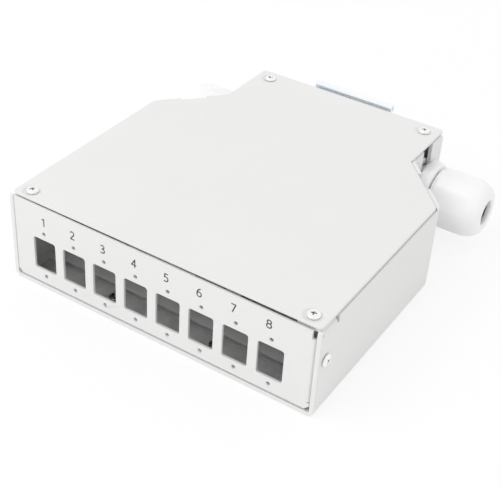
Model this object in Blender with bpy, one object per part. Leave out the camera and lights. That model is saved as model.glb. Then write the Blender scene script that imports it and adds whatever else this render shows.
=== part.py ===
"""DIN rail fibre box: a folded steel splice housing with eight adapter cut-outs and two cable glands.

Metres, +Z up. X runs along the front panel, Y from the front panel to the rail, Z from the underside up.
The origin lies at the centre of the housing's underside.
"""
import math

import bmesh
import bpy
from mathutils import Matrix, Vector

MM = 0.001
GRID_DIGITS = 7

# Fit between pieces that touch
FIT_GAP = 0.3 * MM

# Housing, folded from one sheet
BODY_WIDTH = 122.0 * MM
BODY_DEPTH = 130.0 * MM
BODY_HEIGHT = 35.4 * MM
NECK_STEP = 20.5 * MM
TAPER_DEPTH = 22.35 * MM
BODY_SHEET = 1.5 * MM
BEND_INNER_RADIUS = 0.8 * MM
WALL_CORNER_RADIUS = 2.6 * MM
SEAM_GAP = 0.4 * MM
LIP_DROP = 0.4 * MM

# Folded tabs that carry the cover
COVER_TAB_LENGTH = 10.0 * MM
COVER_TAB_WIDTH = 9.6 * MM
TAB_RELIEF = 1.0 * MM
TAB_SETBACK = 1.9 * MM
TAB_FRONT_RELIEF = 0.7 * MM
REAR_TAB_WIDTH = 6.6 * MM
SCREW_INSET = 5.1 * MM
FRONT_SCREW_INSET = 5.9 * MM
REAR_SCREW_INSET = 6.1 * MM

# Notch in the top of each slanted wall
NOTCH_WIDTH = 10.0 * MM
NOTCH_DEPTH = 6.0 * MM
NOTCH_PLACE = 0.53

# Cover plate
COVER_SHEET = 1.0 * MM
COVER_CORNER_RADIUS = 1.2 * MM
COVER_SETBACK = 1.1 * MM
COVER_SIDE_INSET = 0.6 * MM
COVER_NECK_INSET = 0.3 * MM
DIMPLE_RADIUS = 3.2 * MM
DIMPLE_DEPTH = 0.5 * MM

# Front panel
PANEL_SHEET = 1.0 * MM
PANEL_SETBACK = 0.3 * MM
PANEL_TOP_GAP = 1.0 * MM
PANEL_FOOT_GAP = 0.6 * MM
PANEL_CORNER_HEIGHT = 3.0 * MM
PANEL_CORNER_NOTCH = 1.4 * MM
PANEL_CORNER_CUT = 1.7 * MM
PANEL_BEND_RADIUS = 0.2 * MM
PANEL_RELIEF = 0.25 * MM
PANEL_FLANGE_DEPTH = 8.0 * MM
PORT_COUNT = 8
PORT_PITCH = 13.0 * MM
PORT_WIDTH = 9.5 * MM
PORT_HEIGHT = 13.0 * MM
PORT_FILLET = 0.8 * MM
PORT_CENTRE_Z = 14.2 * MM
PORT_ROW_X = -1.2 * MM
ADAPTER_HOLE_SPACING = 18.0 * MM
ADAPTER_HOLE_DIAMETER = 1.8 * MM
TOP_TAB_X = 1.8 * MM
TOP_TAB_WIDTH = 26.0 * MM
TOP_TAB_DEPTH = 8.0 * MM
FOOT_FLANGE_INSET = 4.0 * MM
FOOT_FLANGE_DEPTH = 11.5 * MM
WELD_DEPTH = 0.1 * MM
FOOT_SCREW_SPACING = 41.6 * MM
FOOT_SCREW_Y = 7.6 * MM
SIDE_SCREW_Y = 4.2 * MM
SIDE_SCREW_Z = 21.3 * MM

# Screws with a cross recess
SCREW_DIAMETER = 2.5 * MM
SCREW_HEAD_DIAMETER = 4.4 * MM
SCREW_HEAD_HEIGHT = 1.0 * MM
SCREW_LENGTH = 3.8 * MM
SIDE_SCREW_LENGTH = 5.0 * MM
TRAY_SCREW_LENGTH = 4.2 * MM
FOOT_SCREW_LENGTH = 2.9 * MM
RECESS_WIDTH = 0.65 * MM
RECESS_SPAN = 2.5 * MM
RECESS_DEPTH = 0.75 * MM

# Splice tray
TRAY_SHEET = 1.2 * MM
TRAY_FRONT_Y = 12.6 * MM
TRAY_SIDE_CLEARANCE = 9.0 * MM
TRAY_SLANT_CLEARANCE = 5.5 * MM
TRAY_THROAT_CLEARANCE = 6.0 * MM
TRAY_RIM_HEIGHT = 7.0 * MM
TRAY_RIM_START = 24.0 * MM
TRAY_RIM_SETBACK = 5.7 * MM
BOSS_HEIGHT = 1.2 * MM
BOSS_DIAMETER = 7.0 * MM
BOSS_SIDE_INSET = 18.0 * MM
BOSS_FRONT_Y = 20.0 * MM
BOSS_REAR_INSET = 2.7 * MM
HOOK_SPAN_X = 70.0 * MM
HOOK_SPAN_Y = 44.0 * MM
HOOK_HEIGHT = 6.0 * MM
HOOK_REACH = 5.0 * MM
HOOK_WIDTH = 6.0 * MM

# Splice comb
COMB_SLOTS = 12
COMB_PITCH = 3.2 * MM
COMB_FIN = 0.9 * MM
COMB_BASE = 2.0 * MM
COMB_FIN_HEIGHT = 5.5 * MM
COMB_LENGTH = 30.0 * MM
COMB_PEG_DIAMETER = 4.0 * MM

# Cable glands
GLAND_THREAD_DIAMETER = 18.6 * MM
GLAND_WALL = 3.3 * MM
GLAND_FLAT_STEP = 1.4 * MM
GLAND_CORNER_ROUNDING = 0.6 * MM
COLLAR_STEP = 0.7 * MM
COLLAR_THICKNESS = 5.0 * MM
COLLAR_THROAT_GAP = 0.5 * MM
GASKET_THICKNESS = 0.6 * MM
GASKET_BAND = 1.1 * MM
GLAND_TAIL = 1.2 * MM
NOSE_STEP = 0.9 * MM
NOSE_LENGTH = 10.5 * MM
CLAW_LENGTH = 4.0 * MM
CLAW_TAPER = 1.1 * MM
CLAW_COUNT = 4
CLAW_SLOT = 1.0 * MM
CAP_GAP = 0.6 * MM
CAP_LENGTH = 20.6 * MM
CAP_STRAIGHT = 12.7 * MM
CAP_RIM_LENGTH = 1.2 * MM
CAP_RIM_STEP = 0.5 * MM
CAP_END_STEP = 4.8 * MM
CAP_BORE_STEP = 4.5 * MM
CAP_END_WALL = 3.0 * MM
SEAL_WALL = 2.45 * MM
SEAL_DEPTH = 6.0 * MM
LOCK_NUT_WALL = 2.45 * MM
LOCK_NUT_THICKNESS = 5.0 * MM
LOCK_NUT_FLOOR_GAP = 0.632 * MM
ENTRY_SLOT_WIDTH = 7.5 * MM

# DIN rail clip
RAIL_HEIGHT = 35.0 * MM
RAIL_SHEET = 1.0 * MM
RAIL_PLAY = 0.1 * MM
CLIP_WIDTH = 34.0 * MM
CLIP_SHEET = 0.8 * MM
CLIP_BEND_RADIUS = 0.3 * MM
CLIP_LEG = 1.4 * MM
CLIP_LIP = 2.2 * MM
CLIP_FOOT_Z = 0.1 * MM
CLIP_SCREW_SPAN = 24.0 * MM
CLIP_SCREW_Z = 27.0 * MM
CLIP_PAD_DIAMETER = 8.0 * MM
CLIP_HEAD_HEIGHT = 1.0 * MM
LATCH_TONGUE_WIDTH = 15.0 * MM
LATCH_TONGUE_TOP = 25.0 * MM
LATCH_SLOT_WIDTH = 6.0 * MM
SPRING_DIAMETER = 3.4 * MM
SPRING_WIRE = 0.5 * MM
SPRING_BOTTOM_Z = 9.3 * MM
SPRING_LENGTH = 12.4 * MM
SPRING_TURNS = 6

# Steps in curves
BEND_STEPS = 3
CLIP_BEND_STEPS = 2
FILLET_STEPS = 3
HOLE_STEPS = 8
SCREW_STEPS = 12
INNER_SCREW_STEPS = 10
SEAT_STEPS = 14
GLAND_STEPS = 24
DOME_STEPS = 24
DOME_RINGS = 4
SPRING_STEPS = 8
WIRE_SIDES = 4

# Sizes worked out from the driving dimensions
HALF_WIDTH = BODY_WIDTH / 2
HALF_NECK = HALF_WIDTH - NECK_STEP
GLAND_HEX = GLAND_THREAD_DIAMETER + 2 * GLAND_FLAT_STEP
GLAND_ROUND_DIAMETER = GLAND_HEX + 2 * GLAND_CORNER_ROUNDING
COLLAR_HEX = GLAND_HEX + 2 * COLLAR_STEP
COLLAR_ROUND_DIAMETER = GLAND_ROUND_DIAMETER + 2 * COLLAR_STEP
LOCK_NUT_HEX = GLAND_THREAD_DIAMETER + 2 * LOCK_NUT_WALL
GLAND_REAR_INSET = BODY_SHEET + FIT_GAP + LOCK_NUT_HEX / 2
NECK_DEPTH = GLAND_REAR_INSET + COLLAR_ROUND_DIAMETER / 2 + COLLAR_THROAT_GAP
TAPER_END = BODY_DEPTH - NECK_DEPTH
TAPER_START = TAPER_END - TAPER_DEPTH
COVER_BOTTOM = BODY_HEIGHT - COVER_SHEET
SEAT_TOP = COVER_BOTTOM - FIT_GAP
SEAT_BOTTOM = SEAT_TOP - BODY_SHEET
BEND_OUTER_RADIUS = BEND_INNER_RADIUS + BODY_SHEET
PANEL_TOP = COVER_BOTTOM - PANEL_TOP_GAP
PANEL_BOTTOM = BODY_SHEET + PANEL_FOOT_GAP
PANEL_BACK = PANEL_SETBACK + PANEL_SHEET
PANEL_SIDE = HALF_WIDTH - BODY_SHEET - FIT_GAP
HOLE_RADIUS = SCREW_DIAMETER / 2 + FIT_GAP
GLAND_AXIS_Y = BODY_DEPTH - GLAND_REAR_INSET
GLAND_AXIS_Z = BODY_SHEET + LOCK_NUT_FLOOR_GAP + LOCK_NUT_HEX / math.sqrt(3)
TRAY_BOTTOM = BODY_SHEET + BOSS_HEIGHT + FIT_GAP
TRAY_TOP = TRAY_BOTTOM + TRAY_SHEET
TRAY_SIDE = HALF_WIDTH - TRAY_SIDE_CLEARANCE
TRAY_REAR_Y = TAPER_END - TRAY_THROAT_CLEARANCE
BOSS_REAR_Y = TAPER_START - BOSS_REAR_INSET
COMB_CENTRE_Y = (BOSS_FRONT_Y + BOSS_REAR_Y) / 2
CLIP_FACE = BODY_DEPTH + FIT_GAP
WEB_FRONT = CLIP_FACE + CLIP_LEG
WEB_BACK = WEB_FRONT + CLIP_SHEET
RAIL_BOTTOM = CLIP_FOOT_Z + CLIP_SHEET + RAIL_PLAY
RAIL_TOP = RAIL_BOTTOM + RAIL_HEIGHT
HOOK_LIP_MIDDLE = WEB_BACK + RAIL_SHEET + 2 * RAIL_PLAY + CLIP_SHEET / 2


def clear_scene():
    """Remove every object, so the script gives the same result on each run."""
    for item in list(bpy.data.objects):
        bpy.data.objects.remove(item, do_unlink=True)


def make_material(name, colour, roughness, metallic=0.0):
    """A Principled material with the piece's colour, roughness and metallic value."""
    material = bpy.data.materials.new(name)
    material.use_nodes = True
    shader = material.node_tree.nodes["Principled BSDF"]
    shader.inputs["Base Color"].default_value = (*colour, 1.0)
    shader.inputs["Roughness"].default_value = roughness
    shader.inputs["Metallic"].default_value = metallic
    return material


def to_world(axis, u, v, along):
    """Place a profile's point: X profiles are (y, z), Y profiles are (x, z), Z profiles are (x, y).

    Rounding lets faces that lie flush meet exactly.
    """
    u, v, along = (round(value, GRID_DIGITS) for value in (u, v, along))
    if axis == "X":
        return Vector((along, u, v))
    if axis == "Y":
        return Vector((u, along, v))
    return Vector((u, v, along))


def make_object(name, mesh_or_bmesh, material=None, smooth_angle=None):
    """Turn a bmesh into a linked object, with its normals pointing out."""
    if isinstance(mesh_or_bmesh, bmesh.types.BMesh):
        bmesh.ops.recalc_face_normals(mesh_or_bmesh, faces=mesh_or_bmesh.faces)
        mesh = bpy.data.meshes.new(name)
        mesh_or_bmesh.to_mesh(mesh)
        mesh_or_bmesh.free()
    else:
        mesh = mesh_or_bmesh
    item = bpy.data.objects.new(name, mesh)
    bpy.context.collection.objects.link(item)
    finish_object(item, material, smooth_angle)
    return item


def finish_object(item, material, smooth_angle=None):
    """Give an object its material and, if it is round, its smooth shading."""
    if material is not None:
        item.data.materials.clear()
        item.data.materials.append(material)
    if smooth_angle is not None:
        item.data.shade_smooth()
        item.data.set_sharp_from_angle(angle=math.radians(smooth_angle))


def prism(name, points, axis, start, stop):
    """Extrude a closed outline along an axis."""
    shape = bmesh.new()
    low = [shape.verts.new(to_world(axis, u, v, start)) for u, v in points]
    high = [shape.verts.new(to_world(axis, u, v, stop)) for u, v in points]
    shape.faces.new(low)
    shape.faces.new(reversed(high))
    count = len(points)
    for index in range(count):
        following = (index + 1) % count
        shape.faces.new((low[index], high[index], high[following], low[following]))
    return make_object(name, shape)


def box(name, low, high):
    """A box between two corners."""
    outline = [(low[0], low[1]), (high[0], low[1]), (high[0], high[1]), (low[0], high[1])]
    return prism(name, outline, "Z", low[2], high[2])


def circle(centre_u, centre_v, radius, steps, phase=0.0):
    """Points of a circle."""
    points = []
    for index in range(steps):
        angle = phase + 2 * math.pi * index / steps
        points.append((centre_u + radius * math.cos(angle), centre_v + radius * math.sin(angle)))
    return points


def rounded(points, radii, steps):
    """Round the corners of a closed outline, each with its own radius."""
    result = []
    count = len(points)
    for index, radius in enumerate(radii):
        corner = Vector(points[index])
        if radius <= 0:
            result.append(tuple(corner))
            continue
        before = (Vector(points[index - 1]) - corner).normalized()
        after = (Vector(points[(index + 1) % count]) - corner).normalized()
        half = before.angle(after) / 2
        start = corner + before * (radius / math.tan(half))
        centre = corner + (before + after).normalized() * (radius / math.sin(half))
        first = start - centre
        turn = math.pi - 2 * half
        sign = 1.0 if before.x * after.y - before.y * after.x < 0 else -1.0
        for step in range(steps + 1):
            angle = sign * turn * step / steps
            result.append((centre.x + first.x * math.cos(angle) - first.y * math.sin(angle),
                           centre.y + first.x * math.sin(angle) + first.y * math.cos(angle)))
    return result


def folded(name, path, sheet, inner_radius, axis, start, stop, steps=BEND_STEPS):
    """A folded strip of sheet: its middle line turns each corner on an arc, then it is extruded."""
    middle = [Vector(point) for point in path]
    bend = inner_radius + sheet / 2
    line = [(middle[0], (middle[1] - middle[0]).normalized())]
    for index in range(1, len(middle) - 1):
        corner = middle[index]
        before = (middle[index - 1] - corner).normalized()
        after = (middle[index + 1] - corner).normalized()
        half = before.angle(after) / 2
        centre = corner + (before + after).normalized() * (bend / math.sin(half))
        first = corner + before * (bend / math.tan(half)) - centre
        turn = math.pi - 2 * half
        sign = 1.0 if before.x * after.y - before.y * after.x < 0 else -1.0
        for step in range(steps + 1):
            spin = Matrix.Rotation(sign * turn * step / steps, 2)
            line.append((centre + spin @ first, spin @ -before))
    line.append((middle[-1], (middle[-1] - middle[-2]).normalized()))
    left = []
    right = []
    for point, direction in line:
        normal = Vector((-direction.y, direction.x)) * (sheet / 2)
        left.append(tuple(point + normal))
        right.append(tuple(point - normal))
    return prism(name, left + right[::-1], axis, start, stop)


def turned(name, profile, steps, phase=0.0):
    """Turn a closed (x, radius) profile about the X axis. A radius of 0 makes a pole."""
    shape = bmesh.new()
    rings = []
    for along, radius in profile:
        if radius <= 0:
            rings.append([shape.verts.new((along, 0.0, 0.0))])
            continue
        ring = circle(0.0, 0.0, radius, steps, phase)
        rings.append([shape.verts.new((along, y, z)) for y, z in ring])
    pairs = list(zip(rings, rings[1:] + rings[:1]))
    for near, far in pairs:
        if len(near) == 1 and len(far) == 1:
            continue
        for index in range(steps):
            following = (index + 1) % steps
            corners = [near[index % len(near)], near[following % len(near)],
                       far[following % len(far)], far[index % len(far)]]
            unique = list(dict.fromkeys(corners))
            shape.faces.new(unique)
    return make_object(name, shape)


def combine(target, other, operation):
    """Apply an exact Boolean to the target and remove the other object."""
    modifier = target.modifiers.new("combine", "BOOLEAN")
    modifier.operation = operation
    modifier.solver = "EXACT"
    modifier.object = other
    graph = bpy.context.evaluated_depsgraph_get()
    result = bpy.data.meshes.new_from_object(target.evaluated_get(graph), depsgraph=graph)
    target.modifiers.clear()
    old = target.data
    target.data = result
    bpy.data.meshes.remove(old)
    result.name = target.name
    bpy.data.objects.remove(other, do_unlink=True)


def cut(target, *others):
    """Take solids away from the target."""
    for other in others:
        combine(target, other, "DIFFERENCE")


def add(target, *others):
    """Join solids to the target."""
    for other in others:
        combine(target, other, "UNION")


def merge_loose(items):
    """Put solids that don't meet into one cutter."""
    shape = bmesh.new()
    for item in items:
        shape.from_mesh(item.data)
    for item in items:
        bpy.data.objects.remove(item, do_unlink=True)
    return make_object("cutters", shape)


def offset_line(first, second, distance):
    """Move a line to its left by a distance."""
    direction = (Vector(second) - Vector(first)).normalized()
    shift = Vector((-direction.y, direction.x)) * distance
    return Vector(first) + shift, Vector(second) + shift


def crossing(line_a, line_b):
    """Where two endless lines meet."""
    (a, b), (c, d) = line_a, line_b
    r = b - a
    s = d - c
    scale = ((c - a).x * s.y - (c - a).y * s.x) / (r.x * s.y - r.y * s.x)
    return a + r * scale


def bottle_outline(side_inset, slant_inset, neck_inset, rear_inset, front_y):
    """The housing's plan, moved in by its own distance along each kind of wall, in anticlockwise order."""
    side = offset_line((HALF_WIDTH, 0.0), (HALF_WIDTH, TAPER_START), side_inset)
    slant = offset_line((HALF_WIDTH, TAPER_START), (HALF_NECK, TAPER_END), slant_inset)
    neck = offset_line((HALF_NECK, TAPER_END), (HALF_NECK, BODY_DEPTH), neck_inset)
    shoulder = crossing(side, slant)
    throat = crossing(slant, neck)
    rear_y = BODY_DEPTH - rear_inset
    right = [(side[0].x, front_y), tuple(shoulder), tuple(throat), (neck[0].x, rear_y)]
    left = [(-x, y) for x, y in reversed(right)]
    return right + left


def bottle_radii(front, shoulder, throat, rear):
    """Corner radii in the order of bottle_outline."""
    return [front, shoulder, throat, rear, rear, throat, shoulder, front]


def bevel_bottom(item, radius, low_z, skip_y):
    """Round the bottom edges, apart from the open front edge."""
    shape = bmesh.new()
    shape.from_mesh(item.data)
    tolerance = 0.01 * MM
    edges = []
    for edge in shape.edges:
        at_bottom = all(abs(vert.co.z - low_z) < tolerance for vert in edge.verts)
        at_front = all(vert.co.y < skip_y for vert in edge.verts)
        if at_bottom and not at_front:
            edges.append(edge)
    bmesh.ops.bevel(shape, geom=edges, offset=radius, segments=BEND_STEPS, profile=0.5, affect="EDGES")
    shape.to_mesh(item.data)
    shape.free()


def screw_seats():
    """Centres of the four cover screws."""
    front_x = HALF_WIDTH - FRONT_SCREW_INSET
    rear_x = HALF_NECK - REAR_SCREW_INSET
    rear_y = BODY_DEPTH - SCREW_INSET
    return {
        "front_left": (-front_x, SCREW_INSET),
        "front_right": (front_x, SCREW_INSET),
        "rear_left": (-rear_x, rear_y),
        "rear_right": (rear_x, rear_y),
    }


def foot_screw_places():
    """X of the two screws that hold the panel's foot flange to the floor."""
    return (PORT_ROW_X - FOOT_SCREW_SPACING / 2, PORT_ROW_X + FOOT_SCREW_SPACING / 2)


def boss_places():
    """Centres of the four raised seats under the splice tray."""
    half = HALF_WIDTH - BOSS_SIDE_INSET
    return [(sign * half, y) for y in (BOSS_FRONT_Y, BOSS_REAR_Y) for sign in (-1, 1)]


def clip_screw_places():
    """(x, z) of the two screws that hold the rail clip."""
    return [(sign * CLIP_SCREW_SPAN / 2, CLIP_SCREW_Z) for sign in (-1, 1)]


def side_wall_tab(sign):
    """A cover tab folded in from a side wall, just behind its front end."""
    wall_x = sign * (HALF_WIDTH - BODY_SHEET / 2)
    tab_z = SEAT_TOP - BODY_SHEET / 2
    foot_z = SEAT_TOP - 2 * BEND_OUTER_RADIUS
    tip_x = sign * (HALF_WIDTH - COVER_TAB_WIDTH)
    path = [(wall_x, foot_z), (wall_x, tab_z), (tip_x, tab_z)]
    return folded("tab", path, BODY_SHEET, BEND_INNER_RADIUS, "Y", TAB_SETBACK, COVER_TAB_LENGTH)


def rear_wall_tab(centre_x):
    """A cover tab folded forward from the rear wall."""
    wall_y = BODY_DEPTH - BODY_SHEET / 2
    tab_z = SEAT_TOP - BODY_SHEET / 2
    foot_z = SEAT_TOP - 2 * BEND_OUTER_RADIUS
    path = [(wall_y, foot_z), (wall_y, tab_z), (BODY_DEPTH - COVER_TAB_LENGTH, tab_z)]
    half = REAR_TAB_WIDTH / 2
    return folded("tab", path, BODY_SHEET, BEND_INNER_RADIUS, "X", centre_x - half, centre_x + half)


def make_base_tray(material):
    """Floor, side walls, slanted walls, neck walls and rear wall, all of one folded sheet."""
    lip_top = BODY_HEIGHT - LIP_DROP
    outer = bottle_outline(0.0, 0.0, 0.0, 0.0, 0.0)
    radii = bottle_radii(0.0, WALL_CORNER_RADIUS, 0.0, 0.0)
    tray = prism("base_tray", rounded(outer, radii, FILLET_STEPS), "Z", 0.0, lip_top)
    bevel_bottom(tray, BEND_OUTER_RADIUS, 0.0, 0.1 * MM)

    sheet = BODY_SHEET
    inner = bottle_outline(sheet, sheet, sheet, sheet, -sheet)
    inner_radius = WALL_CORNER_RADIUS - sheet
    hollow = prism("hollow", rounded(inner, bottle_radii(0.0, inner_radius, 0.0, 0.0), FILLET_STEPS),
                   "Z", sheet, BODY_HEIGHT + sheet)
    bevel_bottom(hollow, BEND_INNER_RADIUS, sheet, 0.0)
    cut(tray, hollow)

    # Only the slanted walls stand up round the cover, the others end under it
    above = BODY_HEIGHT + sheet
    neck_inner = HALF_NECK - sheet
    throat_margin = 0.01 * MM
    cut(tray, prism("wall_tops", bottle_outline(-sheet, sheet, -throat_margin, -sheet, -sheet), "Z", SEAT_TOP, above))

    # Room for the folded tabs, with a relief slot beside each bend
    bend_z = SEAT_TOP - BEND_OUTER_RADIUS
    room_start = TAB_SETBACK - TAB_FRONT_RELIEF
    room_y = COVER_TAB_LENGTH + TAB_RELIEF
    for sign in (-1, 1):
        low_x, high_x = sorted((sign * (HALF_WIDTH - 2 * sheet), sign * (HALF_WIDTH + sheet)))
        cut(tray, box("tab_room", (low_x, room_start, bend_z), (high_x, room_y, above)))
        add(tray, side_wall_tab(sign))
    seats = screw_seats()
    for name in ("rear_left", "rear_right"):
        centre_x = seats[name][0]
        half = REAR_TAB_WIDTH / 2 + TAB_RELIEF
        cut(tray, box("tab_room", (centre_x - half, BODY_DEPTH - 2 * sheet, bend_z),
                      (centre_x + half, BODY_DEPTH + sheet, above)))
        add(tray, rear_wall_tab(centre_x))

    # Open seams between the rear wall and the neck walls, and the rounded rear corners of the neck walls
    for sign in (-1, 1):
        low_x, high_x = sorted((sign * neck_inner, sign * (neck_inner - SEAM_GAP)))
        cut(tray, box("seam", (low_x, BODY_DEPTH - 2 * sheet, BEND_OUTER_RADIUS),
                      (high_x, BODY_DEPTH + sheet, above)))
        cut(tray, rear_corner_cutter(sign, SEAT_TOP))

    # Notch in each slanted wall
    for sign in (-1, 1):
        cut(tray, slant_notch_cutter(sign, lip_top))

    # Keyhole for each gland: a round hole with a slot open to the top
    for sign in (-1, 1):
        low_x, high_x = sorted((sign * (HALF_NECK - 2 * sheet), sign * (HALF_NECK + sheet)))
        radius = GLAND_THREAD_DIAMETER / 2 + FIT_GAP
        hole = prism("hole", circle(GLAND_AXIS_Y, GLAND_AXIS_Z, radius, GLAND_STEPS), "X", low_x, high_x)
        half = ENTRY_SLOT_WIDTH / 2
        slot = box("slot", (low_x, GLAND_AXIS_Y - half, GLAND_AXIS_Z), (high_x, GLAND_AXIS_Y + half, above))
        cut(tray, hole, slot)

    # Raised seats for the splice tray
    for x, y in boss_places():
        foot = sheet / 2
        boss = prism("boss", circle(x, y, BOSS_DIAMETER / 2, SCREW_STEPS), "Z", foot, sheet + BOSS_HEIGHT)
        add(tray, boss)

    # Screw holes
    holes = []
    for x, y in boss_places():
        holes.append(prism("hole", circle(x, y, HOLE_RADIUS, HOLE_STEPS), "Z", -sheet, TRAY_BOTTOM))
    for x in foot_screw_places():
        holes.append(prism("hole", circle(x, FOOT_SCREW_Y, HOLE_RADIUS, HOLE_STEPS), "Z", -sheet, 2 * sheet))
    for x, y in seats.values():
        holes.append(prism("hole", circle(x, y, HOLE_RADIUS, HOLE_STEPS), "Z", SEAT_BOTTOM - sheet, above))
    for x, z in clip_screw_places():
        holes.append(prism("hole", circle(x, z, HOLE_RADIUS, HOLE_STEPS), "Y",
                           BODY_DEPTH - 2 * sheet, BODY_DEPTH + sheet))
    for sign in (-1, 1):
        low_x, high_x = sorted((sign * (HALF_WIDTH - 2 * sheet), sign * (HALF_WIDTH + sheet)))
        holes.append(prism("hole", circle(SIDE_SCREW_Y, SIDE_SCREW_Z, HOLE_RADIUS, HOLE_STEPS), "X",
                           low_x, high_x))
    cut(tray, merge_loose(holes))
    finish_object(tray, material, 30)
    return tray


def rear_corner_cutter(sign, top):
    """Rounds the upper rear corner of a neck wall."""
    radius = WALL_CORNER_RADIUS
    centre = (BODY_DEPTH - radius, top - radius)
    margin = BODY_SHEET
    points = [(BODY_DEPTH + margin, top + margin), (centre[0], top + margin)]
    for step in range(BEND_STEPS + 1):
        angle = math.pi / 2 * (1 - step / BEND_STEPS)
        points.append((centre[0] + radius * math.cos(angle), centre[1] + radius * math.sin(angle)))
    points.append((BODY_DEPTH + margin, centre[1]))
    low_x, high_x = sorted((sign * (HALF_NECK - BODY_SHEET - SEAM_GAP / 2), sign * (HALF_NECK + margin)))
    return prism("corner", points, "X", low_x, high_x)


def slant_notch_cutter(sign, top):
    """The notch in the top of a slanted wall, square to that wall."""
    shoulder = Vector((HALF_WIDTH, TAPER_START))
    throat = Vector((HALF_NECK, TAPER_END))
    along = (throat - shoulder).normalized()
    outward = Vector((along.y, -along.x))
    centre = shoulder.lerp(throat, NOTCH_PLACE)
    half = along * (NOTCH_WIDTH / 2)
    deep = outward * (2 * BODY_SHEET)
    corners = [centre - half - deep, centre - half + deep, centre + half + deep, centre + half - deep]
    outline = [(sign * corner.x, corner.y) for corner in corners]
    return prism("notch", outline, "Z", top - NOTCH_DEPTH, top + BODY_SHEET)


def make_top_cover(material):
    """A flat bottle-shaped plate with a pressed seat at each screw."""
    inset = BODY_SHEET + FIT_GAP
    outline = bottle_outline(COVER_SIDE_INSET, inset, COVER_NECK_INSET, 0.0, COVER_SETBACK)
    radii = bottle_radii(COVER_CORNER_RADIUS, COVER_CORNER_RADIUS, COVER_CORNER_RADIUS, COVER_CORNER_RADIUS)
    cover = prism("top_cover", rounded(outline, radii, FILLET_STEPS), "Z", COVER_BOTTOM, BODY_HEIGHT)
    holes = []
    for x, y in screw_seats().values():
        dimple = turned("dimple", [(-DIMPLE_DEPTH, 0.0), (-DIMPLE_DEPTH, SCREW_HEAD_DIAMETER / 2 + FIT_GAP),
                                   (DIMPLE_DEPTH, DIMPLE_RADIUS + DIMPLE_DEPTH), (DIMPLE_DEPTH, 0.0)], SEAT_STEPS)
        dimple.data.transform(Matrix.Translation((x, y, BODY_HEIGHT)) @ Matrix.Rotation(-math.pi / 2, 4, "Y"))
        holes.append(dimple)
    cut(cover, merge_loose(holes))
    through = [prism("hole", circle(x, y, HOLE_RADIUS, HOLE_STEPS), "Z", COVER_BOTTOM - COVER_SHEET,
                     BODY_HEIGHT + COVER_SHEET) for x, y in screw_seats().values()]
    cut(cover, merge_loose(through))
    finish_object(cover, material, 30)
    return cover


def port_centres():
    """X of each adapter cut-out, from left to right."""
    first = PORT_ROW_X - PORT_PITCH * (PORT_COUNT - 1) / 2
    return [first + PORT_PITCH * index for index in range(PORT_COUNT)]


def panel_outline():
    """The face plate's outline in (x, z): notches above, cut corners below, recesses beside the folded flanges."""
    relief = PANEL_RELIEF
    corner_x = PANEL_SIDE - PANEL_CORNER_NOTCH
    bend_x = PANEL_SIDE - PANEL_SHEET - PANEL_BEND_RADIUS
    cut_x = PANEL_SIDE - PANEL_CORNER_CUT
    cut_z = PANEL_BOTTOM + PANEL_CORNER_CUT
    low = PANEL_BOTTOM + PANEL_CORNER_HEIGHT - relief
    high = PANEL_TOP - PANEL_CORNER_HEIGHT + relief
    right = [(cut_x, PANEL_BOTTOM), (PANEL_SIDE, cut_z), (PANEL_SIDE, low), (bend_x, low), (bend_x, high),
             (corner_x, high), (corner_x, PANEL_TOP)]
    return right + [(-x, z) for x, z in reversed(right)]


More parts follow.
